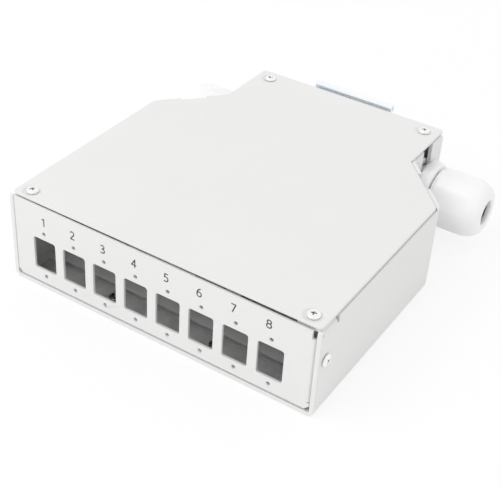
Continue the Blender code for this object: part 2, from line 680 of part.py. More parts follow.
def make_front_panel(material):
    """Face plate with folded side flanges, a foot flange on the floor and a tab under the cover."""
    sheet = PANEL_SHEET
    mid_y = PANEL_SETBACK + sheet / 2
    side_mid = PANEL_SIDE - sheet / 2
    low = PANEL_BOTTOM + PANEL_CORNER_HEIGHT
    high = PANEL_TOP - PANEL_CORNER_HEIGHT
    lap = 2 * sheet + PANEL_BEND_RADIUS
    panel = prism("front_panel", panel_outline(), "Y", PANEL_SETBACK, PANEL_BACK)
    for sign in (-1, 1):
        path = [(sign * (side_mid - lap), mid_y), (sign * side_mid, mid_y),
                (sign * side_mid, PANEL_SETBACK + PANEL_FLANGE_DEPTH)]
        add(panel, folded("flange", path, sheet, PANEL_BEND_RADIUS, "Z", low, high))

    # Tab under the middle of the cover, an angle welded behind the face plate
    weld_y = PANEL_BACK - WELD_DEPTH + sheet / 2
    half = TOP_TAB_WIDTH / 2
    tab_z = PANEL_TOP - WELD_DEPTH - sheet / 2
    path = [(weld_y, tab_z - lap), (weld_y, tab_z), (PANEL_SETBACK + TOP_TAB_DEPTH, tab_z)]
    add(panel, folded("tab", path, sheet, PANEL_BEND_RADIUS, "X", TOP_TAB_X - half, TOP_TAB_X + half))

    # Foot flange on the floor, an angle of the same kind
    foot_z = BODY_SHEET + FIT_GAP + sheet / 2
    half = PANEL_SIDE - FOOT_FLANGE_INSET
    path = [(weld_y, foot_z + lap), (weld_y, foot_z), (PANEL_SETBACK + FOOT_FLANGE_DEPTH, foot_z)]
    add(panel, folded("foot", path, sheet, PANEL_BEND_RADIUS, "X", -half, half))

    # Adapter cut-outs and their fixing holes
    cutters = []
    back = PANEL_BACK + sheet
    for x in port_centres():
        half_w = PORT_WIDTH / 2
        half_h = PORT_HEIGHT / 2
        corners = [(x - half_w, PORT_CENTRE_Z - half_h), (x + half_w, PORT_CENTRE_Z - half_h),
                   (x + half_w, PORT_CENTRE_Z + half_h), (x - half_w, PORT_CENTRE_Z + half_h)]
        cutters.append(prism("port", rounded(corners, [PORT_FILLET] * 4, FILLET_STEPS - 1), "Y", -sheet, back))
        for sign in (-1, 1):
            z = PORT_CENTRE_Z + sign * ADAPTER_HOLE_SPACING / 2
            cutters.append(prism("hole", circle(x, z, ADAPTER_HOLE_DIAMETER / 2, HOLE_STEPS), "Y",
                                 -sheet, back))
    cut(panel, merge_loose(cutters))

    # Screw holes in the folded parts
    holes = []
    for x in foot_screw_places():
        holes.append(prism("hole", circle(x, FOOT_SCREW_Y, HOLE_RADIUS, HOLE_STEPS), "Z", 0.0, foot_z + sheet))
    for sign in (-1, 1):
        low_x, high_x = sorted((sign * (PANEL_SIDE - 2 * sheet), sign * (PANEL_SIDE + sheet)))
        holes.append(prism("hole", circle(SIDE_SCREW_Y, SIDE_SCREW_Z, HOLE_RADIUS, HOLE_STEPS), "X",
                           low_x, high_x))
    cut(panel, merge_loose(holes))
    finish_object(panel, material, 30)
    return panel


def make_screw_mesh(length, height, steps):
    """A raised-head screw with a cross recess, along +X from its tip to its head, seat at the origin."""
    head = SCREW_HEAD_DIAMETER / 2
    shank = SCREW_DIAMETER / 2
    profile = [(-length, 0.0), (-length, shank * 0.7), (-length + shank * 0.5, shank), (0.0, shank),
               (0.0, head), (height * 0.35, head), (height * 0.8, head * 0.75), (height, 0.0)]
    screw = turned("screw", profile, steps)
    half = RECESS_WIDTH / 2
    span = RECESS_SPAN / 2
    floor_x = height - RECESS_DEPTH
    tip = [(floor_x, -half), (2 * height, -span * 1.4), (2 * height, span * 1.4), (floor_x, half)]
    for axis in ("Y", "Z"):
        # The profile is (x, across) for either arm of the cross
        arm = bmesh.new()
        low = []
        high = []
        for x, across in tip:
            first = (x, -half, across) if axis == "Y" else (x, across, -half)
            second = (x, half, across) if axis == "Y" else (x, across, half)
            low.append(arm.verts.new(first))
            high.append(arm.verts.new(second))
        arm.faces.new(low)
        arm.faces.new(reversed(high))
        for index in range(4):
            following = (index + 1) % 4
            arm.faces.new((low[index], high[index], high[following], low[following]))
        cut(screw, make_object("arm", arm))
    mesh = screw.data.copy()
    bpy.data.objects.remove(screw, do_unlink=True)
    return mesh


def place_screws(material):
    """All the housing's screws, each an object of its own that shares its mesh with its like."""
    cover_mesh = make_screw_mesh(SCREW_LENGTH, SCREW_HEAD_HEIGHT, SCREW_STEPS)
    side_mesh = make_screw_mesh(SIDE_SCREW_LENGTH, SCREW_HEAD_HEIGHT, SCREW_STEPS)
    clip_mesh = make_screw_mesh(SIDE_SCREW_LENGTH, CLIP_HEAD_HEIGHT, SCREW_STEPS)
    tray_mesh = make_screw_mesh(TRAY_SCREW_LENGTH, SCREW_HEAD_HEIGHT, INNER_SCREW_STEPS)
    foot_mesh = make_screw_mesh(FOOT_SCREW_LENGTH, SCREW_HEAD_HEIGHT, INNER_SCREW_STEPS)
    up = Matrix.Rotation(-math.pi / 2, 4, "Y")
    seat_z = BODY_HEIGHT - DIMPLE_DEPTH + FIT_GAP
    for name, (x, y) in screw_seats().items():
        screw = make_object("cover_screw_" + name, cover_mesh, material, 40)
        screw.matrix_world = Matrix.Translation((x, y, seat_z)) @ up
    for name, x in zip(("left", "right"), foot_screw_places()):
        screw = make_object("panel_foot_screw_" + name, foot_mesh, material, 40)
        seat = BODY_SHEET + 2 * FIT_GAP + PANEL_SHEET
        screw.matrix_world = Matrix.Translation((x, FOOT_SCREW_Y, seat)) @ up
    for name, (x, y) in zip(("front_left", "front_right", "rear_left", "rear_right"), boss_places()):
        screw = make_object("tray_screw_" + name, tray_mesh, material, 40)
        screw.matrix_world = Matrix.Translation((x, y, TRAY_TOP + FIT_GAP)) @ up
    for name, sign in (("left", -1), ("right", 1)):
        screw = make_object("panel_side_screw_" + name, side_mesh, material, 40)
        turn = Matrix.Rotation(math.pi if sign < 0 else 0.0, 4, "Z")
        place = Matrix.Translation((sign * (HALF_WIDTH + FIT_GAP), SIDE_SCREW_Y, SIDE_SCREW_Z))
        screw.matrix_world = place @ turn
    seat_y = CLIP_FACE + CLIP_SHEET + FIT_GAP
    for name, (x, z) in zip(("left", "right"), clip_screw_places()):
        screw = make_object("clip_screw_" + name, clip_mesh, material, 40)
        screw.matrix_world = Matrix.Translation((x, seat_y, z)) @ Matrix.Rotation(math.pi / 2, 4, "Z")


def tray_outline():
    """Plan of the splice tray, with its rear corners following the slanted walls."""
    slant = offset_line((HALF_WIDTH, TAPER_START), (HALF_NECK, TAPER_END), TRAY_SLANT_CLEARANCE)
    edge = (Vector((TRAY_SIDE, 0.0)), Vector((TRAY_SIDE, BODY_DEPTH)))
    rear = (Vector((HALF_WIDTH, TRAY_REAR_Y)), Vector((0.0, TRAY_REAR_Y)))
    shoulder = crossing(edge, slant)
    throat = crossing(rear, slant)
    right = [(TRAY_SIDE, TRAY_FRONT_Y), tuple(shoulder), tuple(throat)]
    return right + [(-x, y) for x, y in reversed(right)]


def make_splice_tray(material):
    """A flat tray with side rims and four hooks that hold the coiled fibres."""
    tray = prism("splice_tray", tray_outline(), "Z", TRAY_BOTTOM, TRAY_TOP)
    sheet = TRAY_SHEET
    mid_z = TRAY_BOTTOM + sheet / 2
    rim_end = TAPER_START - TRAY_RIM_SETBACK
    for sign in (-1, 1):
        rim_x = sign * (TRAY_SIDE - sheet / 2)
        path = [(rim_x - sign * 4 * sheet, mid_z), (rim_x, mid_z), (rim_x, TRAY_BOTTOM + TRAY_RIM_HEIGHT)]
        band = sorted((sign * (TRAY_SIDE - sheet - BEND_INNER_RADIUS), sign * (TRAY_SIDE + sheet)))
        cut(tray, box("band", (band[0], TRAY_RIM_START, 0.0), (band[1], rim_end, TRAY_TOP + sheet)))
        add(tray, folded("rim", path, sheet, BEND_INNER_RADIUS, "Y", TRAY_RIM_START, rim_end))

    # Hooks, lanced out of the sheet and folded over
    for sign_x in (-1, 1):
        for sign_y in (-1, 1):
            x = sign_x * HOOK_SPAN_X / 2
            y = COMB_CENTRE_Y + sign_y * HOOK_SPAN_Y / 2
            top_z = TRAY_TOP + HOOK_HEIGHT - sheet / 2
            path = [(x, TRAY_BOTTOM + sheet / 2), (x, top_z), (x + sign_x * HOOK_REACH, top_z)]
            half_hook = HOOK_WIDTH / 2
            add(tray, folded("hook", path, sheet, BEND_INNER_RADIUS, "Y", y - half_hook, y + half_hook))

    holes = [prism("hole", circle(x, y, HOLE_RADIUS, HOLE_STEPS), "Z", TRAY_BOTTOM - sheet, TRAY_TOP + sheet)
             for x, y in boss_places()]
    for sign in (-1, 1):
        x = sign * COMB_LENGTH / 4
        radius = COMB_PEG_DIAMETER / 2 + FIT_GAP
        holes.append(prism("hole", circle(x, COMB_CENTRE_Y, radius, HOLE_STEPS), "Z",
                           TRAY_BOTTOM - sheet, TRAY_TOP + sheet))
    cut(tray, merge_loose(holes))
    finish_object(tray, material, 30)
    return tray


def make_splice_comb(material):
    """A moulded comb whose slots hold the splice sleeves, with two pegs in the tray."""
    width = COMB_SLOTS * COMB_PITCH + COMB_FIN
    bottom = TRAY_TOP + FIT_GAP
    floor_z = bottom + COMB_BASE
    top = floor_z + COMB_FIN_HEIGHT
    start = COMB_CENTRE_Y - width / 2
    points = [(start, bottom), (start + width, bottom)]
    for index in range(COMB_SLOTS, -1, -1):
        fin = start + index * COMB_PITCH
        right = [(fin + COMB_FIN, floor_z), (fin + COMB_FIN, top)]
        left = [(fin, top), (fin, floor_z)]
        if index == COMB_SLOTS:
            right = right[1:]
        if index == 0:
            left = left[:1]
        points += right + left
    comb = prism("splice_comb", points, "X", -COMB_LENGTH / 2, COMB_LENGTH / 2)
    for sign in (-1, 1):
        x = sign * COMB_LENGTH / 4
        peg = prism("peg", circle(x, COMB_CENTRE_Y, COMB_PEG_DIAMETER / 2, HOLE_STEPS), "Z",
                    TRAY_BOTTOM, bottom + COMB_BASE / 2)
        add(comb, peg)
    finish_object(comb, material, 30)
    return comb


def hexagon(across_flats, pointing_up):
    """Corners of a hexagon in (y, z)."""
    radius = across_flats / math.sqrt(3)
    return circle(0.0, 0.0, radius, 6, math.pi / 6 if pointing_up else 0.0)


def make_gland_pieces():
    """The five pieces of a cable gland along +X, with the wall's outer face at x = 0."""
    collar_start = FIT_GAP
    collar_end = collar_start + COLLAR_THICKNESS
    recess_end = FIT_GAP + GASKET_THICKNESS + FIT_GAP
    nut_end = -BODY_SHEET - FIT_GAP
    nut_start = nut_end - LOCK_NUT_THICKNESS
    tail = nut_start - GLAND_TAIL
    thread = GLAND_THREAD_DIAMETER / 2
    bore = thread - GLAND_WALL
    nose = thread - NOSE_STEP
    claw_tip = nose - CLAW_TAPER
    gasket_edge = thread + GASKET_BAND
    nose_end = collar_end + NOSE_LENGTH
    claw_end = nose_end + CLAW_LENGTH
    cap_start = collar_end + CAP_GAP
    cap_end = cap_start + CAP_LENGTH
    chamfer = 0.6 * MM

    # Threaded body: a lathe-turned tube with a hexagonal collar
    body = turned("gland_body", [
        (tail, bore), (tail, thread - chamfer), (tail + chamfer, thread), (recess_end + chamfer, thread),
        (recess_end + chamfer, nose), (nose_end, nose), (claw_end, claw_tip), (claw_end, bore + chamfer),
        (nose_end, bore)], GLAND_STEPS)
    collar = prism("collar", hexagon(COLLAR_HEX, False), "X", collar_start, collar_end)
    round_radius = COLLAR_ROUND_DIAMETER / 2
    limit = turned("limit", [
        (collar_start - chamfer, bore), (collar_start - chamfer, round_radius - 2 * chamfer),
        (collar_start + 2 * chamfer, round_radius), (collar_end - 2 * chamfer, round_radius),
        (collar_end + chamfer, round_radius - 2 * chamfer), (collar_end + chamfer, bore)], GLAND_STEPS)
    combine(collar, limit, "INTERSECT")
    cut(collar, turned("recess", [
        (-chamfer, 0.0), (-chamfer, gasket_edge + FIT_GAP), (recess_end, gasket_edge + FIT_GAP), (recess_end, 0.0)],
        SEAT_STEPS))
    add(body, collar)
    for index in range(CLAW_COUNT // 2):
        slot = box("slot", (nose_end - chamfer, -CLAW_SLOT / 2, -2 * nose),
                   (claw_end + chamfer, CLAW_SLOT / 2, 2 * nose))
        slot.data.transform(Matrix.Rotation(math.pi * index / (CLAW_COUNT // 2), 4, "X"))
        cut(body, slot)

    # Flat gasket in the collar's recess
    gasket = turned("gland_gasket", [
        (FIT_GAP, thread + FIT_GAP), (FIT_GAP, gasket_edge),
        (FIT_GAP + GASKET_THICKNESS, gasket_edge), (FIT_GAP + GASKET_THICKNESS, thread + FIT_GAP)],
        SEAT_STEPS)

    # Rubber sealing insert inside the claws, with a shoulder under the cap
    seal_inner = bore - FIT_GAP
    seal_bore = seal_inner - SEAL_WALL
    shoulder_start = claw_end + FIT_GAP
    shoulder_end = cap_end - CAP_END_WALL - FIT_GAP
    seal = turned("gland_seal", [
        (nose_end - SEAL_DEPTH, seal_bore), (nose_end - SEAL_DEPTH, seal_inner), (shoulder_start, seal_inner),
        (shoulder_start, claw_tip - FIT_GAP), (shoulder_end, claw_tip - FIT_GAP), (shoulder_end, seal_bore)],
        SEAT_STEPS)

    # Domed cap nut: a hexagon whose corners and end are turned round
    cap = prism("gland_cap_nut", hexagon(GLAND_HEX, False), "X", cap_start, cap_end)
    round_radius = GLAND_ROUND_DIAMETER / 2
    rim_radius = GLAND_HEX / 2 - CAP_RIM_STEP
    rim_end = cap_start + CAP_RIM_LENGTH
    dome = [(cap_start - chamfer, 0.0), (cap_start - chamfer, rim_radius), (rim_end, rim_radius),
            (rim_end, round_radius - chamfer), (rim_end + chamfer, round_radius),
            (cap_start + CAP_STRAIGHT, round_radius)]
    end_radius = round_radius - CAP_END_STEP
    dome_length = CAP_LENGTH - CAP_STRAIGHT
    for step in range(1, DOME_RINGS):
        angle = math.pi / 2 * step / DOME_RINGS
        dome.append((cap_start + CAP_STRAIGHT + dome_length * math.sin(angle),
                     end_radius + (round_radius - end_radius) * math.cos(angle)))
    dome.append((cap_end, end_radius))
    dome.append((cap_end, 0.0))
    combine(cap, turned("dome", dome, DOME_STEPS), "INTERSECT")
    cap_bore = thread - CAP_BORE_STEP
    inner = turned("bore", [
        (cap_start - chamfer, 0.0), (cap_start - chamfer, nose + FIT_GAP), (nose_end, nose + FIT_GAP),
        (claw_end + FIT_GAP, claw_tip + FIT_GAP), (cap_end - CAP_END_WALL, claw_tip + FIT_GAP),
        (cap_end - CAP_END_WALL, cap_bore), (cap_end - chamfer, cap_bore),
        (cap_end + chamfer, cap_bore + 2 * chamfer), (cap_end + chamfer, 0.0)], GLAND_STEPS)
    cut(cap, inner)

    # Hexagonal lock nut inside the wall
    lock = prism("gland_lock_nut", hexagon(LOCK_NUT_HEX, True), "X", nut_start, nut_end)
    cut(lock, prism("hole", circle(0.0, 0.0, thread + FIT_GAP, GLAND_STEPS), "X",
                    nut_start - chamfer, nut_end + chamfer))
    return [body, gasket, seal, cap, lock]


def place_glands(polyamide, rubber):
    """A gland through each neck wall, its pieces hung on an empty at the wall's outer face."""
    pieces = make_gland_pieces()
    looks = {"gland_gasket": rubber, "gland_seal": rubber}
    for side, sign in (("left", -1), ("right", 1)):
        axis = bpy.data.objects.new("gland_axis_" + side, None)
        bpy.context.collection.objects.link(axis)
        turn = Matrix.Rotation(math.pi if sign < 0 else 0.0, 4, "Z")
        axis.matrix_world = Matrix.Translation((sign * HALF_NECK, GLAND_AXIS_Y, GLAND_AXIS_Z)) @ turn
        for piece in pieces:
            copy = make_object(f"{piece.name}_{side}", piece.data.copy(), looks.get(piece.name, polyamide), 35)
            copy.parent = axis
    for piece in pieces:
        bpy.data.objects.remove(piece, do_unlink=True)


def make_clip_plate(material):
    """The rail clip's back plate: a shallow channel whose top is folded into a hook."""
    half = CLIP_WIDTH / 2
    sheet = CLIP_SHEET
    web_mid = (WEB_FRONT + WEB_BACK) / 2
    hook_mid = RAIL_TOP + RAIL_PLAY + sheet / 2
    bottom = CLIP_FOOT_Z + sheet + FIT_GAP
    path = [(web_mid, bottom), (web_mid, hook_mid), (HOOK_LIP_MIDDLE, hook_mid),
            (HOOK_LIP_MIDDLE, RAIL_TOP - CLIP_LIP)]
    plate = folded("din_clip_plate", path, sheet, CLIP_BEND_RADIUS, "X", -half, half, CLIP_BEND_STEPS)
    for sign in (-1, 1):
        low_x, high_x = sorted((sign * half, sign * (half - sheet)))
        add(plate, box("leg", (low_x, CLIP_FACE, bottom), (high_x, web_mid, RAIL_TOP - CLIP_LIP)))

    # Pressed seats that rest on the housing and sink the screw heads below the rail's face
    seat_radius = SCREW_HEAD_DIAMETER / 2 + FIT_GAP
    seat_floor = CLIP_FACE + sheet
    for x, z in clip_screw_places():
        radius = CLIP_PAD_DIAMETER / 2
        pad = turned("pad", [(CLIP_FACE, 0.0), (CLIP_FACE, radius), (web_mid, radius), (web_mid, 0.0)],
                     SEAT_STEPS)
        mouth = WEB_BACK + sheet
        recess = turned("recess", [(seat_floor, 0.0), (seat_floor, seat_radius),
                                   (mouth, seat_radius + sheet / 2), (mouth, 0.0)], SEAT_STEPS)
        place = Matrix.Translation((x, 0.0, z)) @ Matrix.Rotation(math.pi / 2, 4, "Z")
        for shape in (pad, recess):
            shape.data.transform(place)
        add(plate, pad)
        cut(plate, recess)
        cut(plate, prism("hole", circle(x, z, HOLE_RADIUS, HOLE_STEPS), "Y", BODY_DEPTH, WEB_BACK))

    # Window whose lower edge carries the spring
    window = SPRING_DIAMETER / 2 + 2 * FIT_GAP
    cut(plate, box("window", (-window, CLIP_FACE, SPRING_BOTTOM_Z - FIT_GAP),
                   (window, WEB_BACK + sheet, SPRING_BOTTOM_Z + SPRING_LENGTH + 2 * FIT_GAP)))
    finish_object(plate, material, 30)
    return plate


def move_origin(item, point):
    """Put an object's origin at a point without moving its shape."""
    item.data.transform(Matrix.Translation(-Vector(point)))
    item.location = point


def make_din_latch(material):
    """The sliding latch: a plate guided in the channel, with a hook under the rail.

    Its shoulders stop under the pressed seats and its tongue passes between them.
    """
    sheet = CLIP_SHEET
    half = CLIP_WIDTH / 2 - sheet - FIT_GAP
    mid_y = (CLIP_FACE + WEB_FRONT - FIT_GAP) / 2
    foot_mid = CLIP_FOOT_Z + sheet / 2
    path = [(mid_y, LATCH_TONGUE_TOP), (mid_y, foot_mid), (HOOK_LIP_MIDDLE, foot_mid),
            (HOOK_LIP_MIDDLE, foot_mid + sheet / 2 + CLIP_LIP)]
    latch = folded("din_latch", path, sheet, CLIP_BEND_RADIUS, "X", -half, half, CLIP_BEND_STEPS)
    shoulder = CLIP_SCREW_Z - CLIP_PAD_DIAMETER / 2 - FIT_GAP
    tongue = LATCH_TONGUE_WIDTH / 2
    for sign in (-1, 1):
        low_x, high_x = sorted((sign * tongue, sign * CLIP_WIDTH / 2))
        cut(latch, box("shoulder", (low_x, BODY_DEPTH, shoulder), (high_x, WEB_BACK, CLIP_SCREW_Z)))
    window = SPRING_DIAMETER / 2 + 2 * FIT_GAP
    cut(latch, box("window", (-window, BODY_DEPTH, SPRING_BOTTOM_Z - 2 * FIT_GAP),
                   (window, WEB_FRONT, SPRING_BOTTOM_Z + SPRING_LENGTH + FIT_GAP)))
    slot = LATCH_SLOT_WIDTH / 2
    slot_back = HOOK_LIP_MIDDLE - sheet / 2 - CLIP_BEND_RADIUS
    cut(latch, box("driver_slot", (-slot, WEB_FRONT, -sheet), (slot, slot_back, CLIP_FOOT_Z + 2 * sheet)))
    move_origin(latch, (0.0, mid_y, CLIP_FOOT_Z))
    finish_object(latch, material, 30)
    return latch


def make_latch_spring(material):
    """A compression spring that stands in the plate's and the latch's windows."""
    mean = (SPRING_DIAMETER - SPRING_WIRE) / 2
    wire = SPRING_WIRE / 2
    rise = SPRING_LENGTH - SPRING_WIRE
    total = SPRING_TURNS * SPRING_STEPS
    shape = bmesh.new()
    rings = []
    for index in range(total + 1):
        angle = 2 * math.pi * index / SPRING_STEPS
        outward = Vector((math.cos(angle), math.sin(angle), 0.0))
        centre = outward * mean + Vector((0.0, 0.0, wire + rise * index / total))
        ring = []
        for side in range(WIRE_SIDES):
            turn = 2 * math.pi * side / WIRE_SIDES
            across = outward * (wire * math.cos(turn))
            ring.append(shape.verts.new(centre + across + Vector((0.0, 0.0, wire * math.sin(turn)))))
        rings.append(ring)
    for near, far in zip(rings, rings[1:]):
        for side in range(WIRE_SIDES):
            following = (side + 1) % WIRE_SIDES
            shape.faces.new((near[side], near[following], far[following], far[side]))
    shape.faces.new(rings[0])
    shape.faces.new(reversed(rings[-1]))
    spring = make_object("latch_spring", shape, material, 60)
    spring.location = (0.0, CLIP_FACE + (SPRING_DIAMETER + FIT_GAP) / 2, SPRING_BOTTOM_Z)
    return spring


def centre_the_housing():
    """Hang every piece on an empty, so the origin lies at the centre of the underside."""
    centre = bpy.data.objects.new("housing_centre", None)
    bpy.context.collection.objects.link(centre)
    centre.location = (0.0, -BODY_DEPTH / 2, 0.0)
    for item in bpy.data.objects:
        if item.parent is None and item is not centre:
            item.parent = centre


def main():
    """Build every piece of the fibre box."""
    clear_scene()
    paint = make_material("light_grey_paint", (0.82, 0.82, 0.80), 0.55)
    screw_steel = make_material("nickel_steel", (0.86, 0.85, 0.83), 0.25, 1.0)
    zinc = make_material("zinc_steel", (0.70, 0.74, 0.78), 0.3, 1.0)
    polyamide = make_material("white_polyamide", (0.88, 0.88, 0.90), 0.35)
    rubber = make_material("grey_rubber", (0.10, 0.10, 0.10), 0.7)
    spring_steel = make_material("spring_steel", (0.60, 0.60, 0.60), 0.3, 1.0)
    comb_plastic = make_material("comb_plastic", (0.80, 0.80, 0.78), 0.45)

    make_base_tray(paint)
    make_front_panel(paint)
    make_top_cover(paint)
    place_screws(screw_steel)
    make_splice_tray(paint)
    make_splice_comb(comb_plastic)
    place_glands(polyamide, rubber)
    make_clip_plate(zinc)
    make_din_latch(zinc)
    make_latch_spring(spring_steel)
    centre_the_housing()


main()
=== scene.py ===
"""Looks of the DIN rail fibre box: painted sheet, plated screws and clip, moulded glands, and the stage."""

import math

import bmesh
import bpy
from mathutils import Matrix, Vector


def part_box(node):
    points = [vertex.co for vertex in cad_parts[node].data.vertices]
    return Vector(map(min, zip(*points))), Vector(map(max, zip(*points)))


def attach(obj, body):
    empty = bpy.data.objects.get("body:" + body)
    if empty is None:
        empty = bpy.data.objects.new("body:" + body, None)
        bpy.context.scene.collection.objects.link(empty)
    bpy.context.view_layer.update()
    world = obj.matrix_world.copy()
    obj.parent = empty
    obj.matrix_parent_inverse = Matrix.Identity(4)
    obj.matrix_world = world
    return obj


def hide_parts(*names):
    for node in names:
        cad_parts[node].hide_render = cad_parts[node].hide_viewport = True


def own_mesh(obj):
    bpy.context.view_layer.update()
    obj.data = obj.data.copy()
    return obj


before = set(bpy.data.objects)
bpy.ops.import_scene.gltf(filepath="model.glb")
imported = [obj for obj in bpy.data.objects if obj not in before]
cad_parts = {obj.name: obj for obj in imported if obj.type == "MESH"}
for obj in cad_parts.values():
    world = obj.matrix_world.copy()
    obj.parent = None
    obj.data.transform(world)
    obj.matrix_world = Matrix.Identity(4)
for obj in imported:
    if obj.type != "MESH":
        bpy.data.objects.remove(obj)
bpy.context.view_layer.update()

bl_info = {
    "name": "DIN Rail Fibre Box",
    "version": (1, 0, 0),
    "blender": (4, 5, 0),
    "location": "View3D > Sidebar > Fibre Box",
    "description": "Builds the looks of a DIN rail fibre splice box and the stage for its picture",
    "category": "Add Mesh",
}

MM = 0.001
WELD_DISTANCE = 0.002 * MM

# Angles in degrees: faces of one flat, edges that get a radius, and edges that stay sharp in the shading
FLAT_ANGLE = 0.5
EDGE_ANGLE = 50
SCREW_EDGE_ANGLE = 40
GLAND_EDGE_ANGLE = 38
COIL_EDGE_ANGLE = 50

# The camera of the picture, in pixels, metres and degrees
PICTURE_SIDE = 500
FOCAL_PIXELS = 1097.0
OPTICAL_CENTRE = (224.94, 224.95)
CAMERA_TARGET = (0.01282, -0.04434, 0.04109)
CAMERA_DISTANCE = 0.350
CAMERA_AZIMUTH = 32.137
CAMERA_ELEVATION = 35.035
CAMERA_ROLL = 2.851
CAMERA_NEAR = 0.01
CAMERA_FAR = 20.0

# Cut-outs and their fixing holes in the front panel
PORT_COUNT = 8
PORT_PITCH = 13.0 * MM
PORT_ROW_X = -1.2 * MM
PORT_CENTRE_Z = 14.2 * MM
FIXING_HOLE_SPACING = 18.0 * MM
FIXING_HOLE_DIAMETER = 1.5 * MM
FIXING_HOLE_REACH = 1.2 * MM
FIXING_HOLE_CUTS = 3

# The panel: tight against the left wall, with a sharp fold there, and nearer to the cover at the left
PANEL_SHIFT_SIDE = 57.0 * MM
PANEL_SHIFT = 0.25 * MM
PANEL_SHEET = 1.0 * MM
PANEL_BACK_Y = -63.7 * MM
PANEL_SIDE_X = 59.2 * MM
PANEL_TOP_Z = 33.4 * MM
PANEL_LEFT_RISE = 0.6 * MM
LEFT_STRIP_WIDTH = 2.0 * MM
LEFT_STRIP_FOOT_Z = 3.8 * MM

# Pressed seats of the cover screws
SEAT_DEPTH = 0.5 * MM
SEAT_FLOOR_RADIUS = 2.5 * MM
SEAT_RIM_RADIUS = 3.75 * MM
SEAT_RINGS = 8
SEAT_STEPS = 64
SEAT_LIFT = 0.001 * MM

# Printed numbers
NUMBER_CENTRE_Z = 28.2 * MM
NUMBER_DRIFT = 1.27 * MM
NUMBER_RISE = 0.73 * MM
INK_THICKNESS = 0.02 * MM
SHARPEST_MITRE = 0.3
LONGEST_MITRE = 2.2

# Screws
HEAD_HEIGHT = 1.0 * MM
HEAD_SIDE_SHARE = 0.35
HEAD_FULLNESS = 0.75
HEAD_RINGS = 8
HEAD_SEAT_SHARE = 0.97
HEAD_LIP_SHARE = 0.15
TURNING_FREQUENCY = 42000.0
SHANK_RADIUS = 1.25 * MM
TIP_SHARE = 0.65
CROSS_TURNS = {"cover_screw_front_right": 0.25, "cover_screw_front_left": 1.0, "cover_screw_rear_right": 0.5,
               "cover_screw_rear_left": 0.2, "panel_side_screw_right": 0.6, "panel_side_screw_left": 0.1,
               "panel_foot_screw_left": 0.8, "panel_foot_screw_right": 0.35}
CROSS_SPAN = 2.55 * MM
CROSS_WIDTH = 0.62 * MM
CROSS_DEPTH = 0.72 * MM
CROSS_MOUTH_SPAN = 1.25
CROSS_MOUTH_WIDTH = 1.1
CROSS_FLOOR_SPAN = 0.42
CROSS_FLOOR_WIDTH = 0.8
CROSS_TIP_WIDTH = 0.8
# Depth and radius over which the cross turns dark brown: painted shade, with a tint of dirt
CROSS_SHADE_AND_DIRT_DEPTH = (-0.32 * MM, -0.12 * MM)
CROSS_SHADE_AND_DIRT_REACH = (1.35 * MM, 1.5 * MM)
SCREW_STEPS = 48
THREAD_PITCH = 0.45 * MM
THREAD_DEPTH = 0.17 * MM
THREAD_RINGS = 6
TIP_LENGTH = 0.5 * MM

# Cable glands, measured along X from the outer face of the neck wall
WALL_FACE_X = 40.5 * MM
GLAND_THREAD_RADIUS = 9.3 * MM
GLAND_THREAD_PITCH = 1.5 * MM
GLAND_THREAD_DEPTH = 0.55 * MM
GLAND_STEPS = 96
GLAND_THREAD_RINGS = 8
DOME_RINGS = 16
SEAL_RIBS = 8
FLAT_BLEND = 0.12 * MM
MOULD_RADIUS = 0.3 * MM
NUT_RADIUS = 0.2 * MM
GASKET_RADIUS = 0.15 * MM
MOULD_STEPS = 3
CAP_FLATS = 21.4 * MM
CAP_FLATS_FROM = 10.3 * MM
COLLAR_FLATS = 22.8 * MM
COLLAR_FLATS_FROM = 10.9 * MM
LOCK_NUT_FLATS = 23.5 * MM
LOCK_NUT_FLATS_FROM = 11.0 * MM
THREAD_END = 0.9 * MM
CLAW_SLOT_SIZE = (5.4 * MM, 1.0 * MM, 22.0 * MM)
CLAW_SLOT_X = 18.0 * MM

# Rail clip
CLIP_EDGE_RADIUS = 0.1 * MM
SPRING_WIRE = 0.5 * MM
SPRING_TURNS = 7
SPRING_CLOSED = 1
SPRING_STEPS = 28
WIRE_SIDES = 12

# Stage
FLOOR_RADIUS = 4.0
FLOOR_GAP = 0.02 * MM
FLOOR_STEPS = 96
FLOOR_GLOW = 0.8
KEY_PLACE = (-0.6, -0.8, 1.3)
KEY_AIM = (0.0, 0.0, 0.02)
KEY_SIZE = 0.9
KEY_POWER = 7.0


class FibreBoxSettings(bpy.types.PropertyGroup):
    """Sizes and colours that a user may change before the pieces are built."""

    paint_colour: bpy.props.FloatVectorProperty(
        name="Paint", description="Colour of the powder coat", subtype="COLOR", size=3, min=0.0, max=1.0,
        default=(0.80, 0.80, 0.793))
    paint_grain: bpy.props.FloatProperty(
        name="Paint grain", description="Width of one dimple of the powder coat", subtype="DISTANCE",
        unit="LENGTH", default=0.55 * MM, min=0.1 * MM, max=5.0 * MM)
    edge_radius: bpy.props.FloatProperty(
        name="Sheet edge", description="Radius that the paint gives to the edges of the sheet",
        subtype="DISTANCE", unit="LENGTH", default=0.14 * MM, min=0.02 * MM, max=0.4 * MM)
    moulded_colour: bpy.props.FloatVectorProperty(
        name="Glands", description="Colour of the moulded cable glands", subtype="COLOR", size=3, min=0.0,
        max=1.0, default=(0.965, 0.965, 0.985))
    ink_colour: bpy.props.FloatVectorProperty(
        name="Ink", description="Colour of the printed numbers", subtype="COLOR", size=3, min=0.0, max=1.0,
        default=(0.045, 0.045, 0.045))
    number_height: bpy.props.FloatProperty(
        name="Number height", description="Height of the printed numbers", subtype="DISTANCE", unit="LENGTH",
        default=3.3 * MM, min=2.0 * MM, max=4.6 * MM)
    number_weight: bpy.props.FloatProperty(
        name="Number weight", description="Width of a stroke of the printed numbers", subtype="DISTANCE",
        unit="LENGTH", default=0.43 * MM, min=0.2 * MM, max=0.8 * MM)
    light_strength: bpy.props.FloatProperty(
        name="Room light", description="Brightness of the white room round the box", default=0.86, min=0.0,
        max=5.0)


